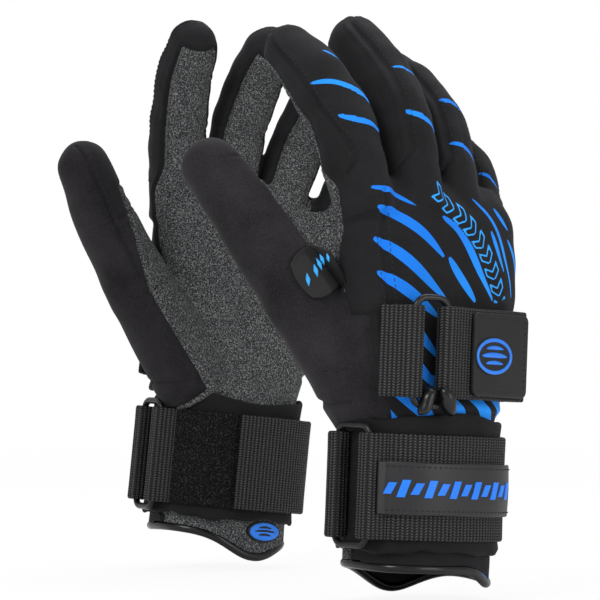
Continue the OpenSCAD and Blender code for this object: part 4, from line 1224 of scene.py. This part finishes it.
def seam_stitches(side, digits, tree):
    """Thread along the finger seams, the seam on the back, and the thumb seams."""
    for i, d in enumerate(digits[:4]):
        s = np.arange(20, d.total + 1, 2.0)
        runs = [on_skin(tree, d.point(s, a), 0.1)
                for a in (-radial_seam(i, s) - 9, -180 + BACK_SEAM + 9, PALM_SEAM + 9,
                          180 - PALM_SEAM - 9)]
        obj = sewn(side, FINGERS[i] + "_stitches", runs, MAT["thread"], radius=0.2)
        bend_with(side, obj, d, FINGER_BEND)
    z = np.arange(48, 95, 2.0)
    runs = [on_skin(tree, hand_point(z, -0.8 + shift, -1), 0.1) for shift in (-0.05, 0.05)]
    ride(side, sewn(side, "back_line_stitches", runs, MAT["thread"], radius=0.2))
    thumb = digits[4]
    upper = np.minimum(np.arange(58, thumb.total + 4, 2.0), thumb.total)
    runs = [on_skin(tree, thumb.point(s, a), 0.1)
            for s, a in ((upper, 53), (upper, 67), (np.arange(12, 58, 2.0), 56))]
    obj = sewn(side, "thumb_stitches", runs, MAT["thread"], radius=0.2)
    bend_with(side, obj, thumb, THUMB_BEND)


for side in SIDES:
    digits, tree = build_skin(side)
    wrap_and_lining(side)
    wrist_straps(side)
    label(side)
    bindings(side)
    hand_straps(side)
    pull_tab(side)
    thumb_patch(side, digits[4])
    tongue_badge(side, tree)
    seam_stitches(side, digits, tree)

# ---------- stage ----------
low = cad_box[0]
reach = 8.0  # metres of floor each way
floor = new_object("floor", [(x, y, low.z - 0.002) for x, y in
                             ((-reach, -reach), (reach, -reach), (reach, reach), (-reach, reach))],
                   [(0, 1, 2, 3)])
k = Nodes("floor_white")
k.colour(k.ramp(k.noise(30, 2, 0.5), (0.3, (0.86, 0.86, 0.86)), (0.7, (0.88, 0.88, 0.88))))
k.set(Roughness=0.9)
# the floor looks white, and keeps a little of the gloves' shadow near them
path = k.add("ShaderNodeLightPath")
glow = k.add("ShaderNodeEmission", Color=(1, 1, 1, 1), Strength=1.0)
both = k.add("ShaderNodeMixShader")
place_on_floor = k.add("ShaderNodeNewGeometry")
far = k.add("ShaderNodeVectorMath", operation="LENGTH")
k.link(place_on_floor.outputs["Position"], far.inputs[0])
share = k.math("MULTIPLY_ADD", far.outputs["Value"], 0.05, 0.905)
share.node.use_clamp = True
fac = k.math("MULTIPLY", path.outputs["Is Camera Ray"], share)
k.link(fac, both.inputs[0])
k.link(k.shader.outputs[0], both.inputs[1])
k.link(glow.outputs[0], both.inputs[2])
k.link(both.outputs[0], k.tree.nodes["Material Output"].inputs["Surface"])
floor.data.materials.append(k.material)

scene = bpy.context.scene
scene.view_settings.view_transform = "Standard"
world = bpy.data.worlds.new("studio")
scene.world = world
world.use_nodes = True
wn = world.node_tree
grey = wn.nodes["Background"]
grey.inputs["Color"].default_value = (1, 1, 1, 1)
grey.inputs["Strength"].default_value = 0.55
white = wn.nodes.new("ShaderNodeBackground")
white.inputs["Color"].default_value = (1, 1, 1, 1)
white.inputs["Strength"].default_value = 1.0
seen = wn.nodes.new("ShaderNodeLightPath")
either = wn.nodes.new("ShaderNodeMixShader")
wn.links.new(seen.outputs["Is Camera Ray"], either.inputs[0])
wn.links.new(grey.outputs[0], either.inputs[1])
wn.links.new(white.outputs[0], either.inputs[2])
wn.links.new(either.outputs[0], wn.nodes["World Output"].inputs["Surface"])

middle = Vector((-0.047, 0.08, 0.118))


def lamp(name, at, size, power_w):
    data = bpy.data.lights.new(name, "AREA")
    data.shape, data.size, data.energy = "SQUARE", size, power_w
    obj = bpy.data.objects.new(name, data)
    obj.location = at
    obj.rotation_mode = "QUATERNION"
    obj.rotation_quaternion = (middle - Vector(at)).to_track_quat("-Z", "Y")
    scene.collection.objects.link(obj)


lamp("key", (-0.9, -1.1, 1.2), 0.7, 14)
lamp("fill", (1.2, -1.0, 0.5), 0.9, 8)
lamp("top", (0.1, 0.5, 1.4), 0.8, 10)

camera = bpy.data.cameras.new("view")
camera.sensor_width, camera.lens = 36, 214.3
camera.clip_start, camera.clip_end = 0.05, 20
eye = bpy.data.objects.new("view", camera)
eye.location = (-0.04735, -1.5, 0.1183)
eye.rotation_euler = (math.radians(90), 0, 0)
scene.collection.objects.link(eye)
scene.camera = eye
